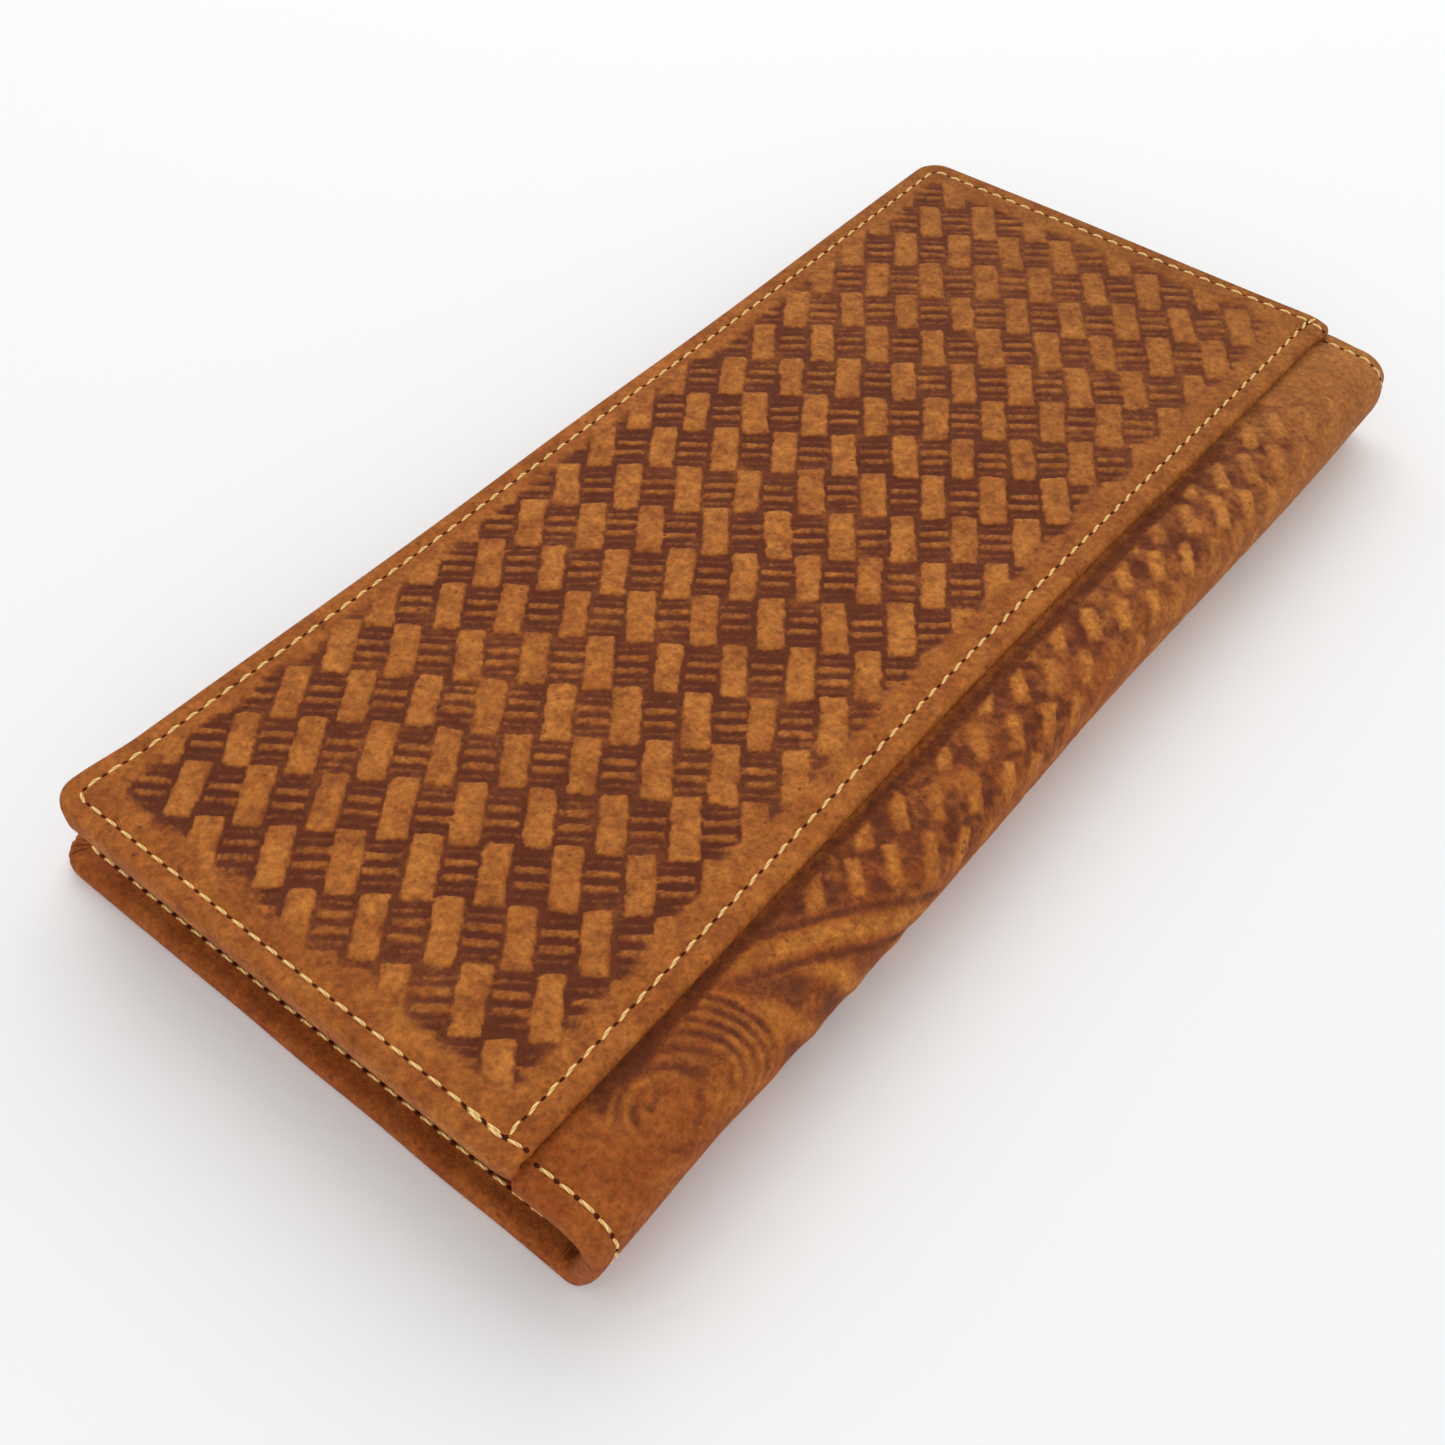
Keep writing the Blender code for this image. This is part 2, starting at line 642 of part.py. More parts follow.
def make_zip_slider(brass):
    """Slider: two plates on a post between the rows, lips that keep the tapes in, and the bail under it."""
    front = ZIP_CHAIN_LENGTH / 2 - LAYER_GAP
    rear = front - SLIDER_LENGTH
    half = SLIDER_WIDTH / 2
    lip = half - SLIDER_LIP
    post = SLIDER_POST / 2
    tape = TAPE / 2 + LAYER_GAP
    bail = BAIL_WIDTH / 2
    bail_low = (rear + front - BAIL_LENGTH) / 2
    bail_high = bail_low + BAIL_LENGTH
    breaks = (
        [ZIP_X + x for x in (-half, -lip, -bail, -post, post, bail, lip, half)],
        [rear, bail_low, bail_low + BAIL_WIRE, bail_high - BAIL_WIRE, bail_high, front],
        [
            BAIL_BAR_Z - BAIL_WIRE,
            BAIL_BAR_Z,
            SLIDER_BOTTOM_Z,
            SLIDER_BOTTOM_Z + SLIDER_PLATE,
            CHAIN_MIDDLE_Z - tape,
            CHAIN_MIDDLE_Z + tape,
            SLIDER_TOP_Z - SLIDER_PLATE,
            SLIDER_TOP_Z,
        ],
    )

    def filled(i, j, k):
        if k == 0:
            return 2 <= i <= 4 and 1 <= j <= 3
        if k == 1:
            return 2 <= i <= 4 and j in (1, 3)
        if k in (2, 6):
            return True
        if k in (3, 5) and i in (0, 6):
            return True
        return i == 3 and 1 <= j <= 3

    block("zip_slider", breaks, filled, brass)
    make_zip_pull(bail_low, brass)


def make_zip_pull(bail_y, brass):
    """Pull tab hooked in the slider's bail: its eye goes round the leg that starts at bail_y."""
    half = PULL_WIDTH / 2
    eye = PULL_EYE_WIDTH / 2
    eye_low = bail_y - 2 * LAYER_GAP
    eye_high = bail_y + BAIL_WIRE + 2 * LAYER_GAP
    end = bail_y + BAIL_LENGTH - BAIL_WIRE - 2 * LAYER_GAP
    outline = rounded_rectangle(ZIP_X - half, ZIP_X + half, end - PULL_LENGTH, end, PULL_CORNER)
    pull = prism("zip_pull", outline, PULL_Z, PULL_Z + PULL_THICKNESS, brass)
    hole = plate(
        "pull_eye",
        (ZIP_X - eye, ZIP_X + eye),
        (eye_low, eye_high),
        (PULL_Z - PULL_THICKNESS, PULL_Z + 2 * PULL_THICKNESS),
        brass,
    )
    cut(pull, hole)


def make_window(free, mouth, low, high, leather, vinyl, cotton):
    """Identity window: clear film behind a sewn leather frame with its mouth at the fold side."""
    film_top = ZIP_PANEL_Z - LAYER_GAP
    frame_top = film_top - FILM - LAYER_GAP
    frame_low = frame_top - STRIP_LEATHER
    border = WINDOW_FRAME_BORDER
    behind = FILM_OVERLAP
    film_x = (free + border - behind, mouth - border + behind)
    film_y = (low + border - behind, high - border + behind)
    plate("id_window_film", film_x, film_y, (film_top - FILM, film_top), vinyl)
    frame = plate("id_window_frame", (free, mouth), (low, high), (frame_low, frame_top), leather)
    hole = prism(
        "window_hole",
        rounded_rectangle(free + border, mouth - border, low + border, high - border, WINDOW_RADIUS),
        frame_low - STRIP_LEATHER,
        frame_top + LAYER_GAP / 2,
        leather,
    )
    cut(frame, hole)
    side_low = low + POCKET_SEAM
    side_high = high - POCKET_SEAM
    seam = seam_round(side_low, side_high, [mouth], [frame_low], free + POCKET_SEAM, -1)
    thread("id_window_thread", seam, cotton)


def make_front_pockets(leather, vinyl, cotton):
    """On the zipped compartment: the identity window on one side and two card pockets on the other."""
    free = FRONT_FREE_X + INNER_INSET
    inner = HALF_LENGTH - INNER_INSET
    mouth = FRONT_END_X - FRONT_MOUTH_FROM_FOLD
    gap = COLUMN_GAP / 2
    make_window(free, mouth, -inner, -gap, leather, vinyl, cotton)
    mouths = [mouth - i * FRONT_CARD_STEP for i in range(FRONT_CARD_POCKETS)]
    faces = []
    for i, edge in enumerate(mouths):
        high = ZIP_PANEL_Z - LAYER_GAP - i * (STRIP_LEATHER + LAYER_GAP)
        faces.append(high - STRIP_LEATHER)
        bottom = max(edge - CARD_DEPTH, free)
        plate(f"front_card_pocket_{i + 1}", (bottom, edge), (gap, inner), (faces[i], high), leather)
    sides = (gap + POCKET_SEAM, inner - POCKET_SEAM)
    seam = seam_round(*sides, mouths, faces, bottom + POCKET_SEAM, -1)
    thread("front_card_thread", seam, cotton)
    edge_x = FRONT_END_X - ZIP_EDGE_FROM_FOLD - POCKET_SEAM
    route = [(edge_x, y, PANEL_SEAM_Z) for y in (POCKET_SEAM - inner, inner - POCKET_SEAM)]
    thread("zip_panel_thread", route, cotton)
    around = ZIP_SLOT_WIDTH / 2 + POCKET_SEAM
    run = ZIP_CHAIN_LENGTH / 2 + STOP_LENGTH + 2 * LAYER_GAP + POCKET_SEAM
    corners = rectangle(ZIP_X - around, ZIP_X + around, -run, run)
    thread("zip_slot_thread", [(x, y, PANEL_SEAM_Z) for x, y in corners], cotton, closed=True)


def axis_at(name, x, y, z, carrier=None):
    """An empty on a joint's axis. What the joint moves hangs on it."""
    axis = bpy.data.objects.new(name, None)
    bpy.context.scene.collection.objects.link(axis)
    hang(axis, carrier)
    axis.location += Vector((x, y, z))
    bpy.context.view_layer.update()
    return axis


def hang(piece, carrier):
    """Parent to an axis without moving anything."""
    if carrier:
        piece.parent = carrier
        piece.location = -carrier.matrix_world.translation


def carried(axis, make, *materials):
    """Make pieces and hang them on the axis that moves them."""
    before = set(bpy.data.objects)
    make(*materials)
    for piece in set(bpy.data.objects) - before:
        hang(piece, axis)


def main():
    clear_scene()
    leather = principled("distressed leather", (0.36, 0.13, 0.035), 0.6)
    cloth = principled("twill lining", (0.05, 0.03, 0.02), 0.85)
    cotton = principled("waxed cotton thread", (0.86, 0.60, 0.30), 0.6)
    brass = principled("aged brass", (0.60, 0.42, 0.18), 0.35, metallic=1.0)
    vinyl = principled("clear vinyl", (0.9, 0.9, 0.88), 0.15, alpha=0.35)
    back_fold = axis_at("back_fold_axis", BACK_PIVOT[0], 0.0, BACK_PIVOT[1])
    front_fold = axis_at("front_fold_axis", FRONT_PIVOT[0], 0.0, FRONT_PIVOT[1], back_fold)
    slide = axis_at("zip_axis", ZIP_X, 0.0, CHAIN_MIDDLE_Z, front_fold)
    make_back_half(leather, cloth, cotton)
    carried(back_fold, make_spine, leather, cloth, cotton)
    carried(front_fold, make_front_half, leather, cloth, cotton)
    carried(front_fold, make_zip_panel, leather)
    carried(front_fold, make_zip_chain, brass, cloth)
    carried(front_fold, make_front_pockets, leather, vinyl, cotton)
    carried(slide, make_zip_slider, brass)


main()
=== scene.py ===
import math

import bpy
import numpy as np
from mathutils import Matrix, Vector


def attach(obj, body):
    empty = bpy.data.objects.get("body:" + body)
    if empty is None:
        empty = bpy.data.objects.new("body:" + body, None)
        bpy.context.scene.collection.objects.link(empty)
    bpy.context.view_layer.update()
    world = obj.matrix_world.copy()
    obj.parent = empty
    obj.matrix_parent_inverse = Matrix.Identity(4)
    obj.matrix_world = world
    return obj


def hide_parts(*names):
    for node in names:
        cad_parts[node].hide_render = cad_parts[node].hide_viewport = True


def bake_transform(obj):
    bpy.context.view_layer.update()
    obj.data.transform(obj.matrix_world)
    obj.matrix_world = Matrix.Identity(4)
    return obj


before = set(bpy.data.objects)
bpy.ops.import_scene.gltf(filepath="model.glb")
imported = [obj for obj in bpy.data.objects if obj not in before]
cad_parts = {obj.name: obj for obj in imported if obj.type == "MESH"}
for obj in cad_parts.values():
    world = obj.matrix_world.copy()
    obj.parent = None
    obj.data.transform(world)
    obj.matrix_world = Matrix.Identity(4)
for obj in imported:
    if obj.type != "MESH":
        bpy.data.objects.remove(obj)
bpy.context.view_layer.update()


# The camera stands where the photograph was taken from: over the near end of the wallet, on the
# fold's side, looking down 48 degrees with a short lens.
CAMERA_PLACE = Vector((0.09903, -0.13706, 0.16917))
CAMERA_RIGHT = Vector((0.77584, 0.63093, -0.00067))
CAMERA_UP = Vector((-0.47219, 0.58135, 0.66263))
SENSOR_WIDTH = 36
FOCAL_LENGTH = 41.43

bpy.ops.object.select_all(action="DESELECT")
bpy.ops.object.camera_add(location=CAMERA_PLACE)
camera = bpy.context.object
camera.name = "photo_camera"
towards = CAMERA_RIGHT.cross(CAMERA_UP)
turn = Matrix((CAMERA_RIGHT, CAMERA_UP, towards)).transposed()
camera.matrix_world = Matrix.Translation(CAMERA_PLACE) @ turn.to_4x4()
camera.data.sensor_width = SENSOR_WIDTH
camera.data.lens = FOCAL_LENGTH
camera.data.clip_start = 0.01
bpy.context.scene.camera = camera
# The leather's own colours are shown as they are, without a film curve.
bpy.context.scene.view_settings.view_transform = "Standard"


# The studio: a plain white table with no edge in view, one broad soft light above and behind the
# wallet, and a weaker one from the camera's side that opens the shadows along the near end.
def to_linear(colour):
    """An sRGB hex colour as the linear values that a shader socket takes."""
    parts = [int(colour[i : i + 2], 16) / 255 for i in (1, 3, 5)]
    line = [c / 12.92 if c <= 0.04045 else ((c + 0.055) / 1.055) ** 2.4 for c in parts]
    return (*line, 1.0)


def set_sockets(node, inputs):
    """Links or sets the sockets of a node that inputs names."""
    for socket, value in inputs.items():
        if isinstance(value, bpy.types.NodeSocket):
            node.id_data.links.new(value, node.inputs[socket])
        else:
            node.inputs[socket].default_value = value


def add_node(tree, kind, inputs, **settings):
    """Adds a shader node with its settings and the links and values of its sockets."""
    made = tree.nodes.new("ShaderNode" + kind)
    for setting, value in settings.items():
        setattr(made, setting, value)
    set_sockets(made, inputs)
    return made


def new_material(name):
    """A new material, its node tree and the node of its surface."""
    material = bpy.data.materials.new(name)
    material.use_nodes = True
    return material, material.node_tree, material.node_tree.nodes["Principled BSDF"]


bpy.ops.mesh.primitive_plane_add(size=3, location=(0, 0, -0.0002))
floor = bpy.context.object
floor.name = "white_table"
# Matt paint has hardly any highlight, so the table is as plain as paper.
table_paint, tree, surface = new_material("matt_white_table_paint")
set_sockets(surface, {"Base Color": to_linear("#FAFAFA"), "Roughness": 0.9, "Specular IOR Level": 0.1})
floor.data.materials.append(table_paint)

world = bpy.data.worlds.new("studio_air")
bpy.context.scene.world = world
world.use_nodes = True
set_sockets(world.node_tree.nodes["Background"], {"Color": to_linear("#FFFFFF"), "Strength": 0.68})


def soft_light(name, place, aim, size, power):
    """A square soft box at place that faces aim."""
    bpy.ops.object.light_add(type="AREA", location=place)
    light = bpy.context.object
    light.name = name
    light.data.size = size
    light.data.energy = power
    light.rotation_euler = (Vector(aim) - Vector(place)).to_track_quat("-Z", "Y").to_euler()


soft_light("overhead_soft_box", (-0.3, 0.42, 0.68), (0, 0, 0), 0.9, 2.95)
soft_light("near_end_fill", (0.5, -0.65, 0.4), (0.02, 0, 0), 0.7, 1.65)


# The slip pocket: one piece of oiled cowhide, wet-formed, stamped by hand with a basketweave
# stamp, its edge pared thin, turned round the front half on three sides and sewn, and its mouth
# turned under in a hem.
HALF_LENGTH = 92.0
FRONT_FREE_EDGE = -40.4
CORNER = 4.4
FRONT_FACE = 17.4
FRONT_EDGE_HEIGHT = 4.5
SEAM_INSET = 3.0
SEAM_DIP = 0.28
SEAM_DIP_WIDTH = 0.55
MOUTH_SEAM = 32.2
HEM_EDGE = 35.6
HEM_HEIGHT = 1.6
POCKET_HIDE = 0.7


def smooth_step(value):
    """0 below 0, 1 above 1, and a smooth rise between them."""
    t = np.clip(value, 0, 1)
    return t * t * (3 - 2 * t)


def hump(value, middle, width):
    """1 at the middle, dying out on both sides over about the width."""
    return np.exp(-(((value - middle) / width) ** 2))


def edge_table(height, top_radius, bottom_radius, reach):
    """A turned edge's section: leather travelled from where it starts to round over, how far out
    from the outline it lies (never above 0), its depth, and the direction it faces."""
    quarter = np.linspace(0, math.pi / 2, 13)
    top_out, top_deep = top_radius * np.sin(quarter), top_radius * np.cos(quarter)
    bottom_out, bottom_deep = bottom_radius * np.cos(quarter), bottom_radius * np.sin(quarter)
    out = [-top_radius + top_out, -bottom_radius + bottom_out, [-bottom_radius - reach]]
    deep = [top_radius - top_deep, height - bottom_radius + bottom_deep, [height]]
    out, deep = np.concatenate(out), np.concatenate(deep)
    travelled = np.concatenate([[0], np.cumsum(np.hypot(np.diff(out), np.diff(deep)))])
    facing = np.concatenate([quarter, quarter + math.pi / 2, [math.pi]])
    return travelled, out, deep, facing


def lay_edge(u, v, free_edge, end, corner, table):
    """Lays flat leather over a rounded board: where the point (u, v) of the cut sheet goes along
    and across, how deep it is under the face, how far inside the outline, and its facing."""
    travelled, out, deep, facing = table
    over_side = free_edge + corner - u
    over_end = np.abs(v) - (end - corner)
    reach = np.maximum(over_side, over_end)
    start = corner + out[0]
    past = reach - start
    ring = np.where(past > 0, corner + np.interp(past, travelled, out), reach)
    ring = np.maximum(ring, 0.05)
    depth = np.where(past > 0, np.interp(past, travelled, deep), 0)
    face = np.where(past > 0, np.interp(past, travelled, facing), 0)
    both = (over_side > 0) & (over_end > 0)
    length = np.where(both, np.hypot(over_side, over_end), 1)
    side_share = np.where(both, over_side / length, (over_side > 0) & (over_side >= over_end))
    end_share = np.where(both, over_end / length, (over_end > 0) & (over_end > over_side))
    along = np.where(over_side > 0, free_edge + corner - ring * side_share, u)
    across = np.where(over_end > 0, np.sign(v) * (end - corner + ring * end_share), v)
    return along, across, depth, corner - ring, face, side_share, end_share


def spaced(stops, steps):
    """Grid lines between the stops, each gap cut into steps of about the given size."""
    lines = []
    for low, high, step in zip(stops[:-1], stops[1:], steps):
        lines.extend(np.linspace(low, high, max(1, round((high - low) / step)), endpoint=False))
    return np.array(lines + [stops[-1]])


def end_stops(radius, turned, out, inward):
    """Stops along the wallet's length for the turned strip and the rounding at either end."""
    half = [HALF_LENGTH - inward, HALF_LENGTH + out, HALF_LENGTH - radius + turned]
    return [-stop for stop in reversed(half)] + half


def cut_leather(name, u_lines, v_lines):
    """A flat blank of leather on the given grid lines, with each vertex's place on the flat."""
    bpy.ops.object.select_all(action="DESELECT")
    bpy.ops.mesh.primitive_grid_add(
        x_subdivisions=len(u_lines) - 1, y_subdivisions=len(v_lines) - 1, size=2
    )
    blank = bpy.context.object
    blank.name = name
    flat = np.empty(len(blank.data.vertices) * 3)
    blank.data.vertices.foreach_get("co", flat)
    flat = flat.reshape(-1, 3)
    column = np.rint((flat[:, 0] + 1) / 2 * (len(u_lines) - 1)).astype(int)
    row = np.rint((flat[:, 1] + 1) / 2 * (len(v_lines) - 1)).astype(int)
    return blank, u_lines[column], v_lines[row]


def pick(piece):
    """Leaves this piece alone selected and active."""
    bpy.ops.object.select_all(action="DESELECT")
    piece.select_set(True)
    bpy.context.view_layer.objects.active = piece


def select_faces(piece, wanted):
    """Opens the piece for editing with only the wanted faces selected."""
    bpy.ops.object.mode_set(mode="EDIT")
    bpy.ops.mesh.select_mode(type="FACE")
    bpy.ops.mesh.select_all(action="DESELECT")
    bpy.ops.object.mode_set(mode="OBJECT")
    piece.data.polygons.foreach_set("select", wanted)
    bpy.ops.object.mode_set(mode="EDIT")


def shape_to(piece, x, y, z, **marks):
    """Moves the vertices to their places in millimetres, and keeps each mark as an attribute."""
    places = np.stack([x, y, z], 1) / 1000
    piece.data.vertices.foreach_set("co", places.ravel())
    for name, values in marks.items():
        attribute = piece.data.attributes.new(name, "FLOAT", "POINT")
        attribute.data.foreach_set("value", np.asarray(values, np.float32))
    piece.data.update()
    pick(piece)
    bpy.ops.object.shade_smooth()


def thicken(piece, thickness, flip=False):
    """Gives a skin its thickness on the inner side, turned over first where it was made face in."""
    pick(piece)
    if flip:
        bpy.ops.object.mode_set(mode="EDIT")
        bpy.ops.mesh.select_all(action="SELECT")
        bpy.ops.mesh.flip_normals()
        bpy.ops.object.mode_set(mode="OBJECT")
    wall = piece.modifiers.new("wall", "SOLIDIFY")
    wall.thickness = thickness / 1000
    wall.offset = -1
    bpy.ops.object.modifier_apply(modifier=wall.name)


def dress(piece, material, slot, *nodes, body=None):
    """Gives a piece its material, the CAD nodes that it replaces and its body. slot is not used."""
    piece.data.materials.append(material)
    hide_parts(*nodes)
    if body:
        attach(piece, body)


# The hand's errors: each stamped block takes its own four numbers from here, and each stitch
# one for its lean.
JITTER = np.random.RandomState(11).uniform(-1, 1, (64, 64, 4))


def soft_noise(x, y, size, seed):
    """Smooth value noise between -1 and 1 with patches of about the given size."""
    table = np.random.RandomState(seed).uniform(-1, 1, (97, 97))
    gx, gy = x / size + 40.5, y / size + 40.5
    ix, iy = np.floor(gx).astype(int), np.floor(gy).astype(int)
    fx, fy = smooth_step(gx - ix), smooth_step(gy - iy)
    corner = [table[(ix + a) % 97, (iy + b) % 97] for a in (0, 1) for b in (0, 1)]
    low = corner[0] * (1 - fy) + corner[1] * fy
    high = corner[2] * (1 - fy) + corner[3] * fy
    return low * (1 - fx) + high * fx


# The stamp's bars as (place, half width, height) and its beaten bands as (place, half width).
# Places and the bands' half widths count in the bars' spacing, the bars' half widths in their own.
BARS = ((-2.6, 0.55, 0.42), (-1, 1, 0.74), (1, 1, 0.74), (2.6, 0.55, 0.42))
BEATEN_BANDS = ((-2.5, 0.8), (0, 0.42), (2.5, 0.8))
ROPE_PITCH = 0.95


def basket_stamp(x, y, origin, step, rise, lean, block, blur, bar=None):
    """How high the stamped leather stands, 1 on the woven blocks, less on the bars between them
    and 0 in the ground, how deep a point is in the bands beaten down beside the bars, and how
    rubbed the blocks are, most in their middles. step and rise are the stamp's two repeats, as
    (y, x). block holds half a block's length and width, lean is how far it is turned, blur how
    soft its edges are, and bar the bars' spacing, half width and half length."""
    basis = np.array([step, rise]).T
    inverse = np.linalg.inv(basis)
    py, px = y - origin[0], x - origin[1]
    i0 = np.rint(inverse[0, 0] * py + inverse[0, 1] * px).astype(int)
    j0 = np.rint(inverse[1, 0] * py + inverse[1, 1] * px).astype(int)
    ragged = 0.2 * soft_noise(x, y, 1.0, 17) + 0.1 * soft_noise(x, y, 2.9, 19)
    rounding = 0.2 * block[1]
    height = np.zeros_like(x)
    cut = np.zeros_like(x)
    worn = np.zeros_like(x)
    for di in (-1, 0, 1):
        for dj in (-1, 0, 1):
            i, j = i0 + di, j0 + dj
            wander = JITTER[(i * 7 + j * 3) % 64, (j * 5 - i * 11) % 64]
            angle = lean + 0.045 * wander[:, 2]
            dy = py - i * step[0] - j * rise[0] - 0.3 * wander[:, 0]
            dx = px - i * step[1] - j * rise[1] - 0.25 * wander[:, 1]
            a = dy * np.cos(angle) - dx * np.sin(angle)
            b = dy * np.sin(angle) + dx * np.cos(angle)
            size = 1 + 0.07 * wander[:, 3]
            past_a = np.abs(a) - block[0] * size + rounding
            past_b = np.abs(b) - block[1] * size + rounding
            edge = np.hypot(np.maximum(past_a, 0), np.maximum(past_b, 0)) - rounding
            edge = edge + np.minimum(np.maximum(past_a, past_b), 0) + ragged
            height = np.maximum(height, smooth_step(0.5 - edge / blur))
            rub = smooth_step(0.4 - 0.45 * edge / blur) * (0.8 + 0.25 * wander[:, 1])
            worn = np.maximum(worn, rub)
            if not bar:
                continue
            # Bars lie between the blocks, twisted like rope, with a beaten band beside each pair.
            bar_a, along_bar = a + 0.2, b - np.hypot(*rise) / 2
            bar_b = np.abs(along_bar) - bar[2]
            roped = 0.8 + 0.2 * np.cos(along_bar * 2 * math.pi / ROPE_PITCH)
            for place, half, tall in BARS:
                edge = np.maximum(np.abs(bar_a - place * bar[0]) - half * bar[1], bar_b) + 0.7 * ragged
                height = np.maximum(height, tall * roped * smooth_step(0.5 - edge / (0.9 * blur)))
                worn = np.maximum(worn, 0.5 * tall * roped * smooth_step(0.5 - edge / blur))
            for place, half in BEATEN_BANDS:
                edge = np.maximum(np.abs(bar_a - place * bar[0]) - half * bar[0], bar_b - 0.1) + ragged
                cut = np.maximum(cut, smooth_step(0.5 - edge / blur))
    return height, cut * (1 - height), worn


def middle_share(y):
    """1 at the middle of the wallet's length and 0 at both ends."""
    return np.cos(np.clip(y / HALF_LENGTH, -1, 1) * math.pi / 2) ** 2


def front_droop(x, y):
    """How far the soft front half sags along its free edge, most at mid-length."""
    return 1.1 * np.clip((14 - x) / 54, 0, 1) ** 2 * middle_share(y)


def settle(x, y, z):
    """Where use has moved the front's leather: the free edge sags and has crept out a little, the
    mouth bows in and up and is rounded off at its ends, the far border narrows towards the fold,
    and the near seam lies nearer its end."""
    bow = 0.9 * middle_share(y) * smooth_step(x / HEM_EDGE)
    bow = bow + 0.45 * smooth_step((x - MOUTH_SEAM - 0.4) / 2.5) * smooth_step((90 - y) / 7)
    creep = 0.4 * y / HALF_LENGTH + 0.62 * hump(y, 0, 26)
    creep = (creep + 0.7 * smooth_step((-y - 79) / 9)) * np.clip(-x / 40, 0, 1)
    narrow = 0.33 * np.maximum(y - 89, 0) * smooth_step((x + 20) / 50)
    narrow = narrow + 0.5 * hump(y, -88.6, 2.3)
    rounded_off = np.where(y > 0, 1.3, 0.5) * np.clip((x - HEM_EDGE + 4.5) / 4.5, 0, 1) ** 2
    narrow = narrow + np.sign(y) * rounded_off * smooth_step((np.abs(y) - 85) / 5)
    lift = 0.45 * middle_share(y) * smooth_step((x - 20) / 14)
    return x - bow - creep, y - narrow, z - front_droop(x, y) + lift


FRONT_RADIUS = 1.3
HEM_RADIUS = 0.75
FRONT_EDGE = edge_table(FRONT_EDGE_HEIGHT, FRONT_RADIUS, bottom_radius=1.6, reach=2.6)
HEM = edge_table(HEM_HEIGHT, HEM_RADIUS, bottom_radius=HEM_RADIUS, reach=5.0)
TURNED = FRONT_EDGE[0][-1]
side_stops = [FRONT_FREE_EDGE + FRONT_RADIUS - TURNED, FRONT_FREE_EDGE - 2.6, FRONT_FREE_EDGE + 1.6]
side_stops += [HEM_EDGE - 1.2, HEM_EDGE + 1.6, HEM_EDGE + 4.8]
pocket, u, v = cut_leather(
    "slip_pocket",
    spaced(side_stops, [0.9, 0.3, 0.43, 0.28, 1.0]),
    spaced(end_stops(FRONT_RADIUS, TURNED, 2.6, 1.6), [0.9, 0.32, 0.45, 0.32, 0.9]),
)
x, y, depth, inset, facing, side_share, end_share = lay_edge(
    u, v, FRONT_FREE_EDGE, HALF_LENGTH, CORNER, FRONT_EDGE
)
past_hem = np.maximum(u - (HEM_EDGE - HEM_RADIUS), 0)
hem_sink = np.where(past_hem > 0, np.interp(past_hem, HEM[0], HEM[2]), 0)
x = np.where(past_hem > 0, HEM_EDGE + np.interp(past_hem, HEM[0], HEM[1]), x)
seam_dip = SEAM_DIP * hump(inset, SEAM_INSET, SEAM_DIP_WIDTH) * (facing == 0)
mouth_dip = SEAM_DIP * hump(u, MOUTH_SEAM, SEAM_DIP_WIDTH) * (np.abs(v) < 89)
seam_dip = np.maximum(seam_dip, mouth_dip)
from_seam = np.minimum(np.minimum(u + 37.0, MOUTH_SEAM - 1.6 - u), 87.6 - np.abs(v))
pressed = smooth_step((from_seam - 0.5 + 1.3 * soft_noise(u, v, 5, 3)) / 2.6)
# The rows were struck by eye, so they wander slowly along the wallet.
swing, sway = np.cos(v * math.pi / HALF_LENGTH), np.sin(v * math.pi / HALF_LENGTH)
weave, cut, worn = basket_stamp(
    u - (0.11 * swing - 0.31 * sway),
    v - (0.53 * sway - 0.73 * swing),
    origin=(-76.46, -21.38),
    step=(9.434, -1.434),
    rise=(4.774, 7.051),
    lean=0.635,
    block=(4.55, 1.68),
    blur=0.36,
    bar=(1.05, 0.46, 1.95),
)
struck = (1 - 0.14 * smooth_step((v - 10) / 80)) * (1 + 0.09 * soft_noise(u, v, 19, 9))
ground = pressed * struck * ((0.76 + 0.14 * soft_noise(u, v, 4, 5)) * (1 - weave) + 0.14 * cut)
off_seam = smooth_step((np.minimum(np.abs(inset - SEAM_INSET), np.abs(u - MOUTH_SEAM)) - 0.6) / 3)
sink = seam_dip + 0.42 * ground
sink = sink + 0.12 * soft_noise(u, v, 14, 8) * (facing == 0) * off_seam + hem_sink
x = x + np.sin(facing) * side_share * sink
y = y - np.sin(facing) * end_share * sink * np.sign(v)
z = FRONT_FACE - depth - np.cos(facing) * sink
shape_to(pocket, *settle(x, y, z), ground=ground, rubbed=pressed * worn)
grain_faces = len(pocket.data.polygons)
thicken(pocket, POCKET_HIDE)
# The flesh side is plain, so it is thinned out to far fewer faces than the stamped side.
order = np.arange(len(pocket.data.polygons))
select_faces(pocket, (order >= grain_faces) & (order < 2 * grain_faces))
bpy.ops.mesh.decimate(ratio=0.05)
bpy.ops.object.mode_set(mode="OBJECT")


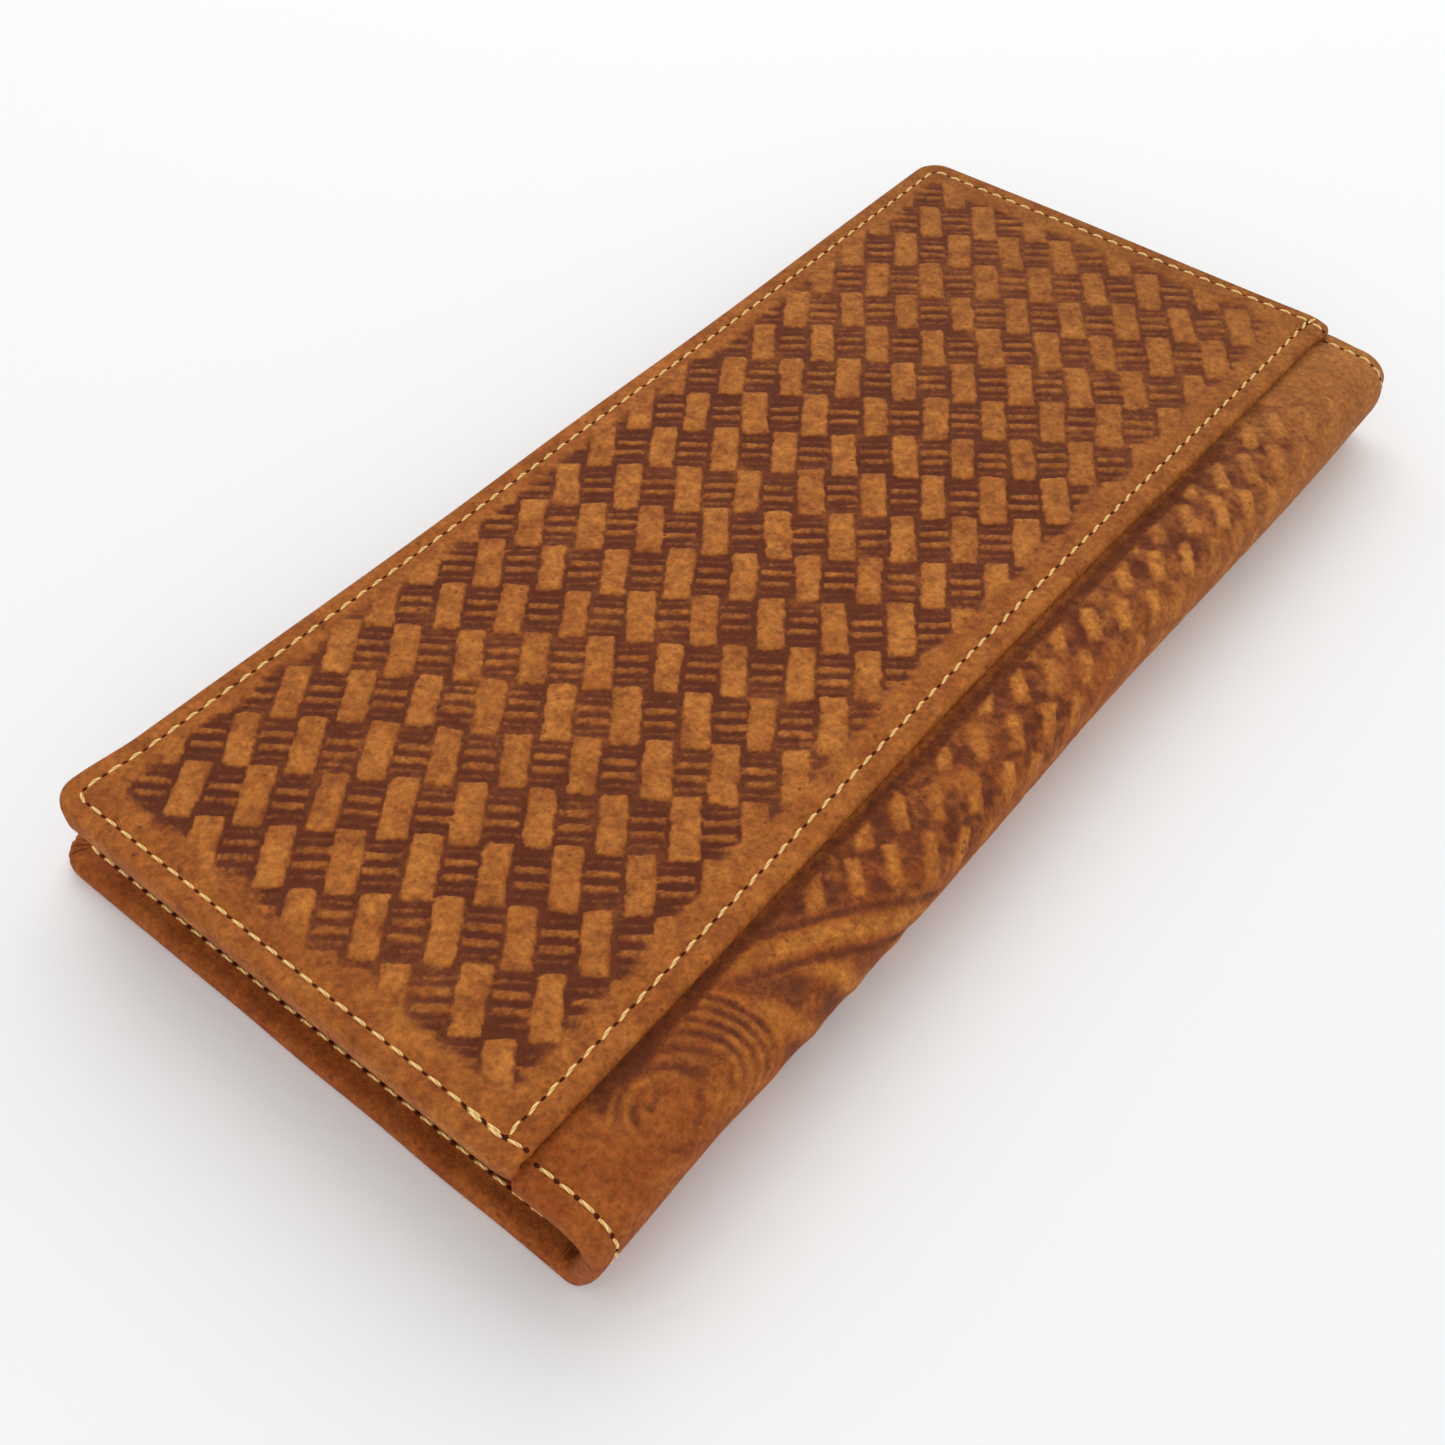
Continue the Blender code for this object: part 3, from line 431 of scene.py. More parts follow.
def oiled_cowhide(
    name, plain, warm, rubbed, dark, grain_depth, near_red=0, far_share=0, far_tone="#6E4A20"
):
    """Pull-up cowhide: waxy and matt, clouded with redder brown and speckled by its nap. Stamped
    ground has gone dark with the finish, and the same ground mark also darkens the painted shade
    under the pocket's lip and in the corner pleats. The high places are rubbed light. The colour is
    redder at the near end and turns to another tone at the far one, each by the share given."""
    material, tree, surface = new_material(name)
    place = add_node(tree, "TexCoord", {}).outputs["Object"]
    # The noises' patches are in millimetres: dye clouds, stains, rubbing and the nap's speckle.
    base = {"Vector": place, "Roughness": 0.72}
    cloud, stain, rub, nap = (
        add_node(tree, "TexNoise", {**base, "Scale": 1000 / patch, "Detail": detail}).outputs["Fac"]
        for patch, detail in ((9, 5), (3.4, 6), (1.5, 4), (0.8, 5))
    )
    # The pores are drawn 2 mm apart, sparser than real ones, so that they show.
    pores = add_node(tree, "TexVoronoi", {"Vector": place, "Scale": 520}).outputs["Distance"]
    along = add_node(tree, "SeparateXYZ", {"Vector": place}).outputs["Y"]
    high = add_node(tree, "Attribute", {}, attribute_name="rubbed").outputs["Fac"]
    low = add_node(tree, "Attribute", {}, attribute_name="ground").outputs["Fac"]
    # Each row is a value, its range, and what that range becomes.
    limits = ("Value", "From Min", "From Max", "To Min", "To Max")
    (
        clouded,
        stained,
        near,
        far,
        polished,
        frayed,
        stamped,
        deep,
        hollow,
        speckled,
        pricked,
        open_grain,
    ) = (
        add_node(tree, "MapRange", dict(zip(limits, row))).outputs[0]
        for row in (
            (cloud, 0.38, 0.62, 0.0, 1.0),
            (stain, 0.42, 0.68, 0.0, 0.85),
            (along, 0.0, -0.09, 0.0, near_red),
            (along, 0.0, 0.09, 0.0, far_share),
            (rub, 0.3, 0.66, 0.25, 0.95),
            (rub, 0.3, 0.7, -0.25, 0.25),
            (low, 0.0, 0.3, 0.0, 1.0),
            (low, 0.6, 1.0, 0.0, 1.0),
            (nap, 0.36, 0.56, 0.3, 0.8),
            (nap, 0.32, 0.66, 0.62, 1.26),
            (pores, 0.08, 0.2, 0.8, 0.0),
            (rub, 0.44, 0.58, 0.0, 1.0),
        )
    )
    ragged = add_node(tree, "Math", {0: low, 1: frayed}, operation="ADD", use_clamp=True).outputs[0]
    row = dict(zip(limits, (ragged, 0.1, 0.9, 0.0, 1.0)))
    ragged = add_node(tree, "MapRange", row, interpolation_type="SMOOTHSTEP").outputs[0]
    shiny, sunk, deepest, pitted = (
        add_node(tree, "Math", {0: first, 1: second}, operation="MULTIPLY", use_clamp=True).outputs[0]
        for first, second in ((high, polished), (ragged, stamped), (deep, hollow), (pricked, open_grain))
    )
    colour = to_linear(plain)
    for share, tone in (
        (clouded, warm),
        (shiny, rubbed),
        (stained, "#87431C"),
        (near, "#8E4010"),
        (far, far_tone),
        (sunk, dark),
        (deepest, "#582613"),
    ):
        layers = {0: share, 6: colour, 7: to_linear(tone)}
        colour = add_node(tree, "Mix", layers, data_type="RGBA").outputs[2]
    colour = add_node(tree, "VectorMath", {0: colour, "Scale": speckled}, operation="SCALE").outputs[0]
    layers = {0: pitted, 6: colour, 7: to_linear(dark)}
    colour = add_node(tree, "Mix", layers, data_type="RGBA").outputs[2]
    grain = add_node(tree, "Math", {0: nap, 1: rub}, operation="ADD").outputs[0]
    bump = add_node(tree, "Bump", {"Height": grain, "Strength": 0.7, "Distance": grain_depth})
    set_sockets(
        surface,
        {"Base Color": colour, "Normal": bump.outputs[0], "Roughness": 0.72, "Specular IOR Level": 0.14},
    )
    return material


stamped_cowhide = oiled_cowhide(
    "oiled_cowhide_basket_stamped",
    "#BC7230",
    "#A35B23",
    "#C97E36",
    "#6D351C",
    grain_depth=0.00026,
    near_red=0.1,
    far_share=0.28,
)
dress(pocket, stamped_cowhide, "leather", "slip_pocket_panel", body="front")


# The outer leather: one long cowhide cut that covers the back, bends round the fold, where it is
# carved with a scroll and a finer weave, and runs on under the slip pocket. Its ends are turned in
# and sewn. It is made as two skins that meet at the middle of the fold, one for each bend.
BACK_FREE_EDGE = -45.8
OUTER_HEIGHT = 2.9
HIDE = 1.0
FOLD_MIDDLE_HEIGHT = 9.8
FLAT_START = 60.0
SECTION_END = -38.0
# Where each of the fold's two bends starts and ends, in metres.
LOWER_BEND = {"start": (0.0372, 0, 0), "end": (0.0458, 0, 0.0086)}
UPPER_BEND = {"start": (0.0458, 0, 0.0110), "end": (0.0410, 0, 0.0158)}

# The leather's outer face across the fold, from under the back half to the top of the front cover.
section = [(-FLAT_START, 0.0), (41.0, 0.0)]
section += [(41.0 + 2.6 * math.sin(q), 2.6 - 2.6 * math.cos(q)) for q in np.linspace(0, 1.22, 12)[1:]]
section += [(44.3, 3.3), (45.3, 5.9), (46.15, 8.6), (46.4, FOLD_MIDDLE_HEIGHT), (46.4, 11.2)]
quarter = np.linspace(0, math.pi / 2, 20)[1:]
section += [(41.2 + 5.2 * math.cos(q), 11.2 + 4.6 * math.sin(q)) for q in quarter]
section += [(38.0, 15.8), (SECTION_END, 15.8)]


def path_table(points):
    """Evenly smoothed places, outward directions and lengths along a section of leather."""
    corner = np.array(points, float)
    far = np.concatenate([[0], np.cumsum(np.hypot(*np.diff(corner, axis=0).T))])
    fine = np.arange(0, far[-1], 0.05)
    place = np.stack([np.interp(fine, far, corner[:, 0]), np.interp(fine, far, corner[:, 1])], 1)
    kernel = np.ones(21) / 21
    padded = np.pad(place, ((10, 10), (0, 0)), mode="reflect", reflect_type="odd")
    place = np.stack([np.convolve(padded[:, k], kernel, "valid") for k in (0, 1)], 1)
    along = np.gradient(place, axis=0)
    along /= np.hypot(*along.T)[:, None]
    return fine, place, np.stack([along[:, 1], -along[:, 0]], 1)


WHOLE_BEND = path_table(section)
heights = WHOLE_BEND[1][:, 1]
# The section rises without a break up to here, so the fold's middle can be looked up by height.
rising = np.argmax(heights > 15)
MIDDLE = float(np.interp(FOLD_MIDDLE_HEIGHT, heights[:rising], WHOLE_BEND[0][:rising]))
HEM_PLACE = float(WHOLE_BEND[0][-1] - (HEM_EDGE - SECTION_END))


def on_bend(s, y, depth):
    """Where leather at s along the section and depth under its face lies."""
    fine, place, outward = WHOLE_BEND
    px, pz = np.interp(s, fine, place[:, 0]), np.interp(s, fine, place[:, 1])
    nx, nz = np.interp(s, fine, outward[:, 0]), np.interp(s, fine, outward[:, 1])
    pushed_in = 0.5 * hump(y, -72, 11) + 0.55 * hump(y, 8, 23)
    swell = 0.22 + 0.1 * (y / 90) - pushed_in + 0.35 * hump(y, 65, 20)
    swell = (swell - 1.2 * smooth_step((y - 86.5) / 5)) * np.clip(nx, 0, 1)
    depth = depth + 0.6 * np.clip(nz, 0, 1) * smooth_step((np.abs(y) - 84) / 6)
    near_creep = 0.2 * smooth_step((-y - 60) / 30) * np.clip(-nz, 0, 1)
    far_tuck = (0.33 * np.maximum(y - 89, 0) + 0.4 * smooth_step((y - 70) / 20)) * np.clip(nz, 0, 1)
    far_tuck = far_tuck * (0.55 + 0.45 * smooth_step((px - 35.5) / 6))
    return px - nx * depth + swell, y - near_creep - far_tuck, pz - nz * depth


SCROLL_EYE = (-75.75, 7.15)


def fold_carving(s, y):
    """The fold's carving, where s counts from the pocket's hem: the beaten-down ground, with the
    painted shadow under the pocket's lip added to it, and the rubbed high places, both from 0 to 1.
    A scroll lies near one end, a curved stem crosses the fold beside it, and a finer weave runs
    from there and dies out before the other end."""
    weave, _, worn = basket_stamp(
        s,
        y,
        origin=(0.86, 5.26),
        step=(4.401, 2.517),
        rise=(6.493, -3.804),
        lean=0.79,
        block=(2.75, 0.92),
        blur=0.9,
    )
    # The stem's middle line bends a little, and across counts from it.
    across = (y + 58.5) * 0.534 - (s - 0.2) * 0.845 + 0.003 * (y + 48) ** 2
    weave_zone = smooth_step((across - 1.9) / 2)
    weave_zone *= smooth_step((87 - y + 8 * soft_noise(s, y, 9, 23)) / 44)
    weave_zone *= 0.4 + 0.6 * smooth_step((14 - s + 3 * soft_noise(s, y, 7, 27)) / 7)
    mottled = 0.2 * soft_noise(s, y, 3, 35) + 0.2 * soft_noise(s, y, 1.1, 45)
    ground = (0.58 + 1.1 * mottled) * (1 - weave) * weave_zone
    rubbed = np.minimum(1.5 * worn, 1) * weave_zone
    eye_y, eye_s = y - SCROLL_EYE[0], s - SCROLL_EYE[1]
    from_eye = np.hypot(eye_y, eye_s) + 0.4 * soft_noise(s, y, 5, 29)
    turning = np.arctan2(eye_s, eye_y)
    # The scroll's lines widen outwards and run inwards as a spiral near its eye.
    turns = 0.4 + 0.3056 * from_eye + 0.01543 * from_eye**2
    turns = turns + 0.36 * (turning + 1.2) * np.clip((8 - from_eye) / 4, 0, 1)
    rings = 0.5 + 0.5 * np.cos(2 * math.pi * turns)
    ring_zone = smooth_step((15.2 - from_eye) / 1.2) * smooth_step((from_eye - 3.0) / 0.8)
    ring_zone *= 0.1 + 0.9 * smooth_step((y + 83) / 4)
    ring_zone *= 1 - 0.6 * smooth_step((s - 7.5) / 5)
    ring_zone *= 1 - 0.7 * smooth_step((turning + 0.3) / 0.8) * smooth_step((8.5 - from_eye) / 3)
    ring_zone *= 1 - 0.85 * smooth_step((s - 4.5) / 3) * smooth_step((-71.5 - y) / 3)
    ring_zone *= 0.85 + 0.3 * soft_noise(s, y, 3.5, 33)
    ground = np.maximum(ground, (0.32 + 0.54 * (1 - rings)) * ring_zone)
    # A deeper painted shadow under the pocket's lip, at the scroll's end of the fold.
    scroll_lip_shadow = smooth_step((2.9 - s + 1.2 * soft_noise(s, y, 4, 37)) / 2.0)
    scroll_lip_shadow *= smooth_step((y + 82.6 + soft_noise(s, y, 2, 47)) / 3)
    ground = np.maximum(ground, 0.75 * scroll_lip_shadow * smooth_step((-66 - y) / 5))
    rubbed = np.maximum(rubbed, rings**1.6 * ring_zone)
    # Three short curved cuts round the eye: the turn at their middle, half their arc, their radius.
    for middle, half, radius in ((-1.6, 0.7, 2.5), (0.75, 0.45, 3.4), (2.25, 0.4, 4.5)):
        stroke = np.abs(from_eye - radius) + 2 * np.maximum(np.abs(turning - middle) - half, 0)
        ground = np.maximum(ground, 0.5 * smooth_step((1.0 - stroke) / 0.8))
    stem_zone = smooth_step((y + 64) / 5) * smooth_step((-28 - y) / 6)
    rubbed = np.maximum(rubbed, smooth_step((1.7 - np.abs(across)) / 1.3) * stem_zone)
    outline = smooth_step((1.3 - np.abs(np.abs(across) - 2.4)) / 1.1) * stem_zone
    ground = ground * (1 - smooth_step((1.9 - np.abs(across)) / 0.8) * stem_zone)
    ground = np.maximum(ground, 0.72 * outline)
    veins = 0.5 + 0.5 * np.cos(2 * math.pi * ((y + 50.8) * 0.894 - (s - 11) * 0.447) / 7.15)
    vein_zone = smooth_step((-across - 2.0) / 1.5) * smooth_step((from_eye - 14.2) / 1.2) * stem_zone
    ground = np.maximum(ground, (0.6 + 0.2 * soft_noise(s, y, 3, 43)) * vein_zone * (1 - veins**2))
    rubbed = np.maximum(rubbed, veins**3 * vein_zone)
    # A painted shadow under the pocket's lip: the leather there is painted dark, and its rubbed light
    # is taken out.
    hem_shadow = smooth_step((1.7 - s + 0.5 * soft_noise(s, y, 5, 39)) / 1.3)
    hem_shadow = hem_shadow * smooth_step((y + 84) / 6) * smooth_step((80 - y) / 30)
    return np.maximum(ground, 0.72 * hem_shadow), rubbed * (1 - hem_shadow)


OUTER_RADIUS = 1.05
OUTER_EDGE = edge_table(OUTER_HEIGHT, OUTER_RADIUS, bottom_radius=1.2, reach=2.9)
OUTER_TURNED = OUTER_EDGE[0][-1]


def outer_skin(name, s_lines, cell, nodes):
    """One skin of the outer leather, laid over the section between the first and last line, with
    grid lines a cell apart along the fold."""
    end_lines = spaced(end_stops(OUTER_RADIUS, OUTER_TURNED, 1.4, 1.3), [0.8, 0.3, cell, 0.3, 0.8])
    skin, u, v = cut_leather(name, s_lines, end_lines)
    s, y, depth, inset, facing, side_share, end_share = lay_edge(
        u, v, FLAT_START + BACK_FREE_EDGE, HALF_LENGTH, CORNER, OUTER_EDGE
    )
    under_hem = smooth_step((s - HEM_PLACE - 0.4) / 1.6)
    depth = depth * (1 - 0.6 * under_hem)
    y = y - np.sign(y) * 2.0 * under_hem * smooth_step((np.abs(y) - 60) / 28)
    seam_dip = SEAM_DIP * hump(inset, SEAM_INSET, SEAM_DIP_WIDTH) * (facing == 0) * (1 - under_hem)
    ground, rubbed = fold_carving(HEM_PLACE - s, y)
    carved = smooth_step((s - 94) / 5) * (1 - under_hem)
    carved = carved * smooth_step((87 - np.abs(y)) / 4) * (facing == 0)
    ground, rubbed = ground * carved, rubbed * carved
    off_seam = smooth_step((np.abs(inset - SEAM_INSET) - 0.6) / 3)
    corner_turn = np.arctan2(side_share, end_share)
    # The leather gathers into small pleats where it is turned round a corner, and their creases are
    # painted dark as shade.
    pleats = (0.5 + 0.5 * np.cos(corner_turn * 20 + 2)) ** 4 * np.sin(2 * corner_turn) ** 2
    on_edge = smooth_step((facing - 1.3) / 0.8)
    sink = seam_dip + 0.45 * ground + 0.1 * soft_noise(s, y, 11, 21) * off_seam
    sink = sink + 0.4 * pleats * on_edge
    s = s + np.sin(facing) * side_share * sink
    y = y - np.sin(facing) * end_share * sink * np.sign(v)
    x, y, z = on_bend(s, y, depth + np.cos(facing) * sink)
    # The pleats' creases are painted shade, carried in the ground mark.
    creased = 0.9 * pleats * on_edge
    shape_to(skin, x, y, z, ground=np.maximum(ground, creased), rubbed=rubbed)
    thicken(skin, HIDE, flip=True)
    dress(skin, carved_cowhide, "leather", *nodes)
    return skin


carved_cowhide = oiled_cowhide(
    "oiled_cowhide_scroll_carved",
    "#BD7030",
    "#9B5020",
    "#DC903C",
    "#6C351B",
    grain_depth=0.00028,
    near_red=0.4,
    far_share=0.35,
    far_tone="#B48248",
)
start = FLAT_START + BACK_FREE_EDGE
back_stops = [start + OUTER_RADIUS - OUTER_TURNED, start - 1.4, start + 1.3, start + 5, 92, MIDDLE]
lines, covered = spaced(back_stops, [0.8, 0.3, 0.6, 2.0, 0.5]), ("back_cover", "spine_leather")
back_leather = outer_skin("back_leather", lines, 0.52, covered)
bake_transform(back_leather)
front_stops = [MIDDLE, HEM_PLACE + 1, HEM_PLACE + 4, WHOLE_BEND[0][-1] - 2.0]
lines, covered = spaced(front_stops, [0.36, 0.7, 2.5]), ("front_cover", "spine_leather")
front_leather = outer_skin("front_leather", lines, 0.36, covered)
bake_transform(front_leather)


# The seams: waxed pale gold polyester thread, lock-stitched by machine, nine stitches to the inch.
# Each stitch is a short twisted rod that dips into a needle hole at both of its ends.
STITCH_PITCH = 2.8
STITCH_SEEN = 2.05
THREAD_RADIUS = 0.215
LOOK_AHEAD = 1.1
HOLE_SUNK = 0.025

# The wax gives the thread a soft sheen. The slanting light and dark bands, about two to a stitch,
# are the strands' painted light and shade.
waxed_thread, tree, surface = new_material("waxed_gold_polyester_thread")
twist = {"Vector": add_node(tree, "UVMap", {}, uv_map="twist").outputs[0], "Scale": 2.2, "Distortion": 0.4}
twist = add_node(tree, "TexWave", twist, bands_direction="DIAGONAL").outputs["Fac"]
strand = {0: twist, 6: to_linear("#DFA654"), 7: to_linear("#FFE19C")}
bump = add_node(tree, "Bump", {"Height": twist, "Strength": 0.5, "Distance": 0.0001})
set_sockets(
    surface,
    {
        "Base Color": add_node(tree, "Mix", strand, data_type="RGBA").outputs[2],
        "Roughness": 0.5,
        "Specular IOR Level": 0.4,
        "Normal": bump.outputs[0],
    },
)

# A needle hole is painted dark and dull as the shadow inside it, which parts the stitches from
# each other.
needle_hole, tree, surface = new_material("needle_hole_painted_shadow")
set_sockets(surface, {"Base Color": to_linear("#45200F"), "Roughness": 0.9, "Specular IOR Level": 0.1})

bpy.ops.object.select_all(action="DESELECT")
bpy.ops.mesh.primitive_cylinder_add(
    vertices=8, radius=THREAD_RADIUS, depth=STITCH_SEEN, end_fill_type="TRIFAN"
)
one_stitch = bpy.context.object
one_stitch.name = "one_stitch"
bpy.ops.object.mode_set(mode="EDIT")
for cut_place in (0.35, 0, -0.35):
    bpy.ops.mesh.select_all(action="SELECT")
    bpy.ops.mesh.bisect(plane_co=(0, 0, cut_place * STITCH_SEEN), plane_no=(0, 0, 1))
bpy.ops.object.mode_set(mode="OBJECT")
one_stitch.data.uv_layers[0].name = "twist"
# The rod is laid along X, thins towards its ends and dips there.
for vertex in one_stitch.data.vertices:
    reach = vertex.co.z / (STITCH_SEEN / 2)
    narrow = 1 - 0.35 * abs(reach) ** 3
    lift = 0.16 - 0.42 * abs(reach) ** 3
    vertex.co = (vertex.co.z, vertex.co.y * narrow, vertex.co.x * narrow + lift)
bpy.ops.object.select_all(action="DESELECT")
bpy.ops.mesh.primitive_cylinder_add(vertices=10, radius=0.3, depth=0.12)
one_hole = bpy.context.object
one_hole.name = "one_needle_hole"
one_hole.scale = (1.15, 0.9, 1)
bpy.ops.object.transform_apply(location=False, rotation=False, scale=True)
for pattern in (one_stitch, one_hole):
    pattern.data.materials.append(waxed_thread)
    pattern.data.materials.append(needle_hole)
for face in one_hole.data.polygons:
    face.material_index = 1


def sew(name, path, up, node, body=None, slant=0.05):
    """Lays stitches along a path of points in millimetres, with the leather's outward direction
    at each point or for all, and joins them into one piece, which replaces the thread named and
    rides on the body."""
    path = np.array(path, float)
    up = np.broadcast_to(np.array(up, float), path.shape)
    far = np.concatenate([[0], np.cumsum(np.linalg.norm(np.diff(path, axis=0), axis=1))])
    count = max(1, round(far[-1] / STITCH_PITCH))
    pitch = far[-1] / count
    made = []
    for k in range(count + 1):
        at = {"hole": k * pitch}
        if k < count:
            at["stitch"] = (k + 0.5) * pitch
        for kind, reach in at.items():
            spot = [np.interp(reach, far, path[:, c]) for c in range(3)]
            ahead, behind = min(reach + LOOK_AHEAD, far[-1]), max(reach - LOOK_AHEAD, 0)
            ahead = [np.interp(ahead, far, path[:, c]) for c in range(3)]
            behind = [np.interp(behind, far, path[:, c]) for c in range(3)]
            rise = Vector([np.interp(reach, far, up[:, c]) for c in range(3)]).normalized()
            run = (Vector(ahead) - Vector(behind)).normalized()
            side = rise.cross(run).normalized()
            run = side.cross(rise).normalized()
            lean = slant * (1 + 0.6 * JITTER[k % 64, 3, 0]) if kind == "stitch" else 0
            run = (run * math.cos(lean) + side * math.sin(lean)).normalized()
            side = rise.cross(run)
            source = one_stitch if kind == "stitch" else one_hole
            part = source.copy()
            part.data = source.data.copy()
            spot = Vector(spot) + rise * (0.0 if kind == "stitch" else -HOLE_SUNK)
            turn = Matrix((run, side, rise)).transposed().to_4x4()
            part.data.transform(Matrix.Scale(0.001, 4) @ Matrix.Translation(spot) @ turn)
            bpy.context.collection.objects.link(part)
            made.append(part)
    bpy.ops.object.select_all(action="DESELECT")
    for part in made:
        part.select_set(True)
    bpy.context.view_layer.objects.active = made[0]
    bpy.ops.object.join()
    seam = bpy.context.object
    seam.name = name
    bpy.ops.object.shade_smooth()
    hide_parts(node)
    if body:
        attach(seam, body)
    return seam


def round_seam(free_side, fold_side, z):
    """A seam's path round three sides of a half, from the fold at the near end to the fold at the
    far end, at one height."""
    left = free_side + SEAM_INSET
    end = HALF_LENGTH - SEAM_INSET
    bend = CORNER - SEAM_INSET
    quarter = np.linspace(0, math.pi / 2, 7)
    turn = [(bend - bend * math.sin(q), bend - bend * math.cos(q)) for q in quarter]
    path = [(fold_side, -end, z)] + [(left + x, -end + y, z) for x, y in turn]
    return path + [(left + x, end - y, z) for x, y in reversed(turn)] + [(fold_side, end, z)]


def fine_path(points, step=1.0):
    """The same path with a point at least every step, so that it can follow a curved face."""
    points = np.array(points, float)
    far = np.concatenate([[0], np.cumsum(np.linalg.norm(np.diff(points, axis=0), axis=1))])
    at = np.linspace(0, far[-1], int(far[-1] / step) + 2)
    return np.stack([np.interp(at, far, points[:, c]) for c in range(3)], 1)


def settled(path):
    """A path on the slip pocket, moved as its leather is."""
    return np.stack(settle(*fine_path(path).T), 1)


def drooped(path):
    """A fine path inside the front half, lowered with its sag."""
    path[:, 2] -= front_droop(path[:, 0], path[:, 1])
    return path


UP = (0, 0, 1)
DOWN = (0, 0, -1)
THREAD_FACE = FRONT_FACE - 0.26
THREAD_SUNK = 0.24
END_POINTS = 60

border = settled(round_seam(FRONT_FREE_EDGE, HEM_EDGE - 0.4, THREAD_FACE))
sew("front_border_stitches", border, UP, "front_outer_thread", "front")
mouth = settled([(MOUTH_SEAM, -89, THREAD_FACE), (MOUTH_SEAM, 89, THREAD_FACE)])
sew("pocket_mouth_stitches", mouth, UP, "pocket_mouth_thread", "front", slant=0.14)
# Both ends of the mouth's seam are backtacked: sewn over again, beside the border's stitches at
# the near end and across the border at the far end.
for word, tack in (
    ("near", [(32.4, -89.33, FRONT_FACE - 0.2), (26.8, -89.33, FRONT_FACE - 0.2)]),
    ("far", [(MOUTH_SEAM + 0.2, 88.2, FRONT_FACE - 0.1), (MOUTH_SEAM + 0.8, 90.9, FRONT_FACE - 0.2)]),
):
    name = f"pocket_mouth_{word}_backtack"
    sew(name, settled(tack), UP, "pocket_mouth_thread", "front", slant=0.02)
border = fine_path(round_seam(BACK_FREE_EDGE, 37.5, THREAD_SUNK))
sew("back_border_stitches", border, DOWN, "back_outer_thread", "back")

# The turned ends of the fold are sewn too, in two seams that meet at the fold's middle.
fine, _, outward = WHOLE_BEND
for side, word in ((-1, "near"), (1, "far")):
    for level, s_from, s_to, bodies, bend in (
        ("lower", FLAT_START + 38.0, MIDDLE, ("back", "spine"), LOWER_BEND),
        ("upper", MIDDLE, HEM_PLACE - 0.2, ("spine", "front"), UPPER_BEND),
    ):
        s = np.linspace(s_from, s_to, END_POINTS)
        end = np.full(END_POINTS, side * (HALF_LENGTH - SEAM_INSET))
        path = np.stack(on_bend(s, end, np.full(END_POINTS, THREAD_SUNK)), 1)
        up = [np.interp(s, fine, outward[:, k]) for k in (0, 1)]
        up.insert(1, np.zeros(END_POINTS))
        name = f"fold_{word}_end_{level}_stitches"
        seam = sew(name, path, np.stack(up, 1), f"spine_{word}_thread")
        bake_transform(seam)

inner = fine_path(round_seam(BACK_FREE_EDGE, 36.0, 2.9))
sew("back_inner_border_stitches", inner, UP, "back_inner_thread", "back")
inner = drooped(fine_path(round_seam(FRONT_FREE_EDGE, 35.2, 12.9)))
sew("front_inner_border_stitches", inner, DOWN, "front_inner_thread", "front")


# The lining: brown cotton twill, glued to the hide's flesh side all over the inside, and caught
# under the turned border on every side. It bends round the fold with the leather.
LINING_DEPTH = 1.5
LINING_THICKNESS = 0.4

cotton_twill, tree, surface = new_material("brown_cotton_twill")
# The twill follows the cloth round the fold, so it is laid by the cloth's own length and width.
warp = add_node(tree, "Attribute", {}, attribute_name="warp").outputs["Fac"]
weft = add_node(tree, "Attribute", {}, attribute_name="weft").outputs["Fac"]
place = add_node(tree, "CombineXYZ", {"X": weft, "Y": warp}).outputs[0]
# The real twill has 24 threads to the centimetre and a rib to three threads. Its ribs are drawn
# 1.65 mm apart, at about half that count, so that they show. The faded patches are 17 mm across.
lay = add_node(tree, "Mapping", {"Vector": place, "Rotation": (0, 0, math.radians(52))}).outputs[0]
rib = {"Vector": lay, "Scale": 190, "Distortion": 0.6}
rib = add_node(tree, "TexWave", rib).outputs["Fac"]
fade = add_node(tree, "TexNoise", {"Vector": place, "Scale": 60, "Detail": 4}).outputs["Fac"]
ribbed = {0: rib, 6: to_linear("#341D10"), 7: to_linear("#5E3A20")}
ribbed = add_node(tree, "Mix", ribbed, data_type="RGBA").outputs[2]
faded = {0: fade, 6: ribbed, 7: to_linear("#4A2E1B")}
faded = add_node(tree, "Mix", faded, data_type="RGBA").outputs[2]
bump = add_node(tree, "Bump", {"Height": rib, "Strength": 0.4, "Distance": 0.0002}).outputs[0]
set_sockets(surface, {"Base Color": faded, "Roughness": 0.85, "Sheen Weight": 0.1, "Normal": bump})


def lining_skin(name, s_lines, half, nodes):
    """One skin of the lining, glued under the leather along the section."""
    skin, s, y = cut_leather(name, s_lines, spaced([-half, half], [2.4]))
    ripple = 0.05 * soft_noise(s, y, 7, 31)
    x, y, z = on_bend(s, y, LINING_DEPTH + LINING_THICKNESS + ripple)
    shape_to(skin, x, y, z, weft=s / 1000, warp=y / 1000)
    thicken(skin, LINING_THICKNESS)
    dress(skin, cotton_twill, "lining", *nodes)
    return skin


lines = spaced([FLAT_START - 43.5, FLAT_START + 36, MIDDLE], [3, 0.6])
back_lining = lining_skin("back_lining_twill", lines, 90.0, ("back_lining", "spine_lining"))
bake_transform(back_lining)
lines = spaced([MIDDLE, HEM_PLACE + 4, WHOLE_BEND[0][-1] - 2.6], [0.6, 3])
front_lining = lining_skin("front_lining_twill", lines, 89.6, ("front_lining", "spine_lining"))
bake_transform(front_lining)


# The pockets of the back half: a full-length note pocket with three stepped card pockets on it,
# of thinner plain cowhide. Each mouth has a cut, rounded edge with a creased line beside it.
NOTE_HIDE = 0.75
CARD_HIDE = 0.65
tones = ("#A06028", "#8A4B1E", "#B9742F", "#4E2614")
pocket_cowhide = oiled_cowhide("oiled_cowhide_plain", *tones, grain_depth=0.00016)


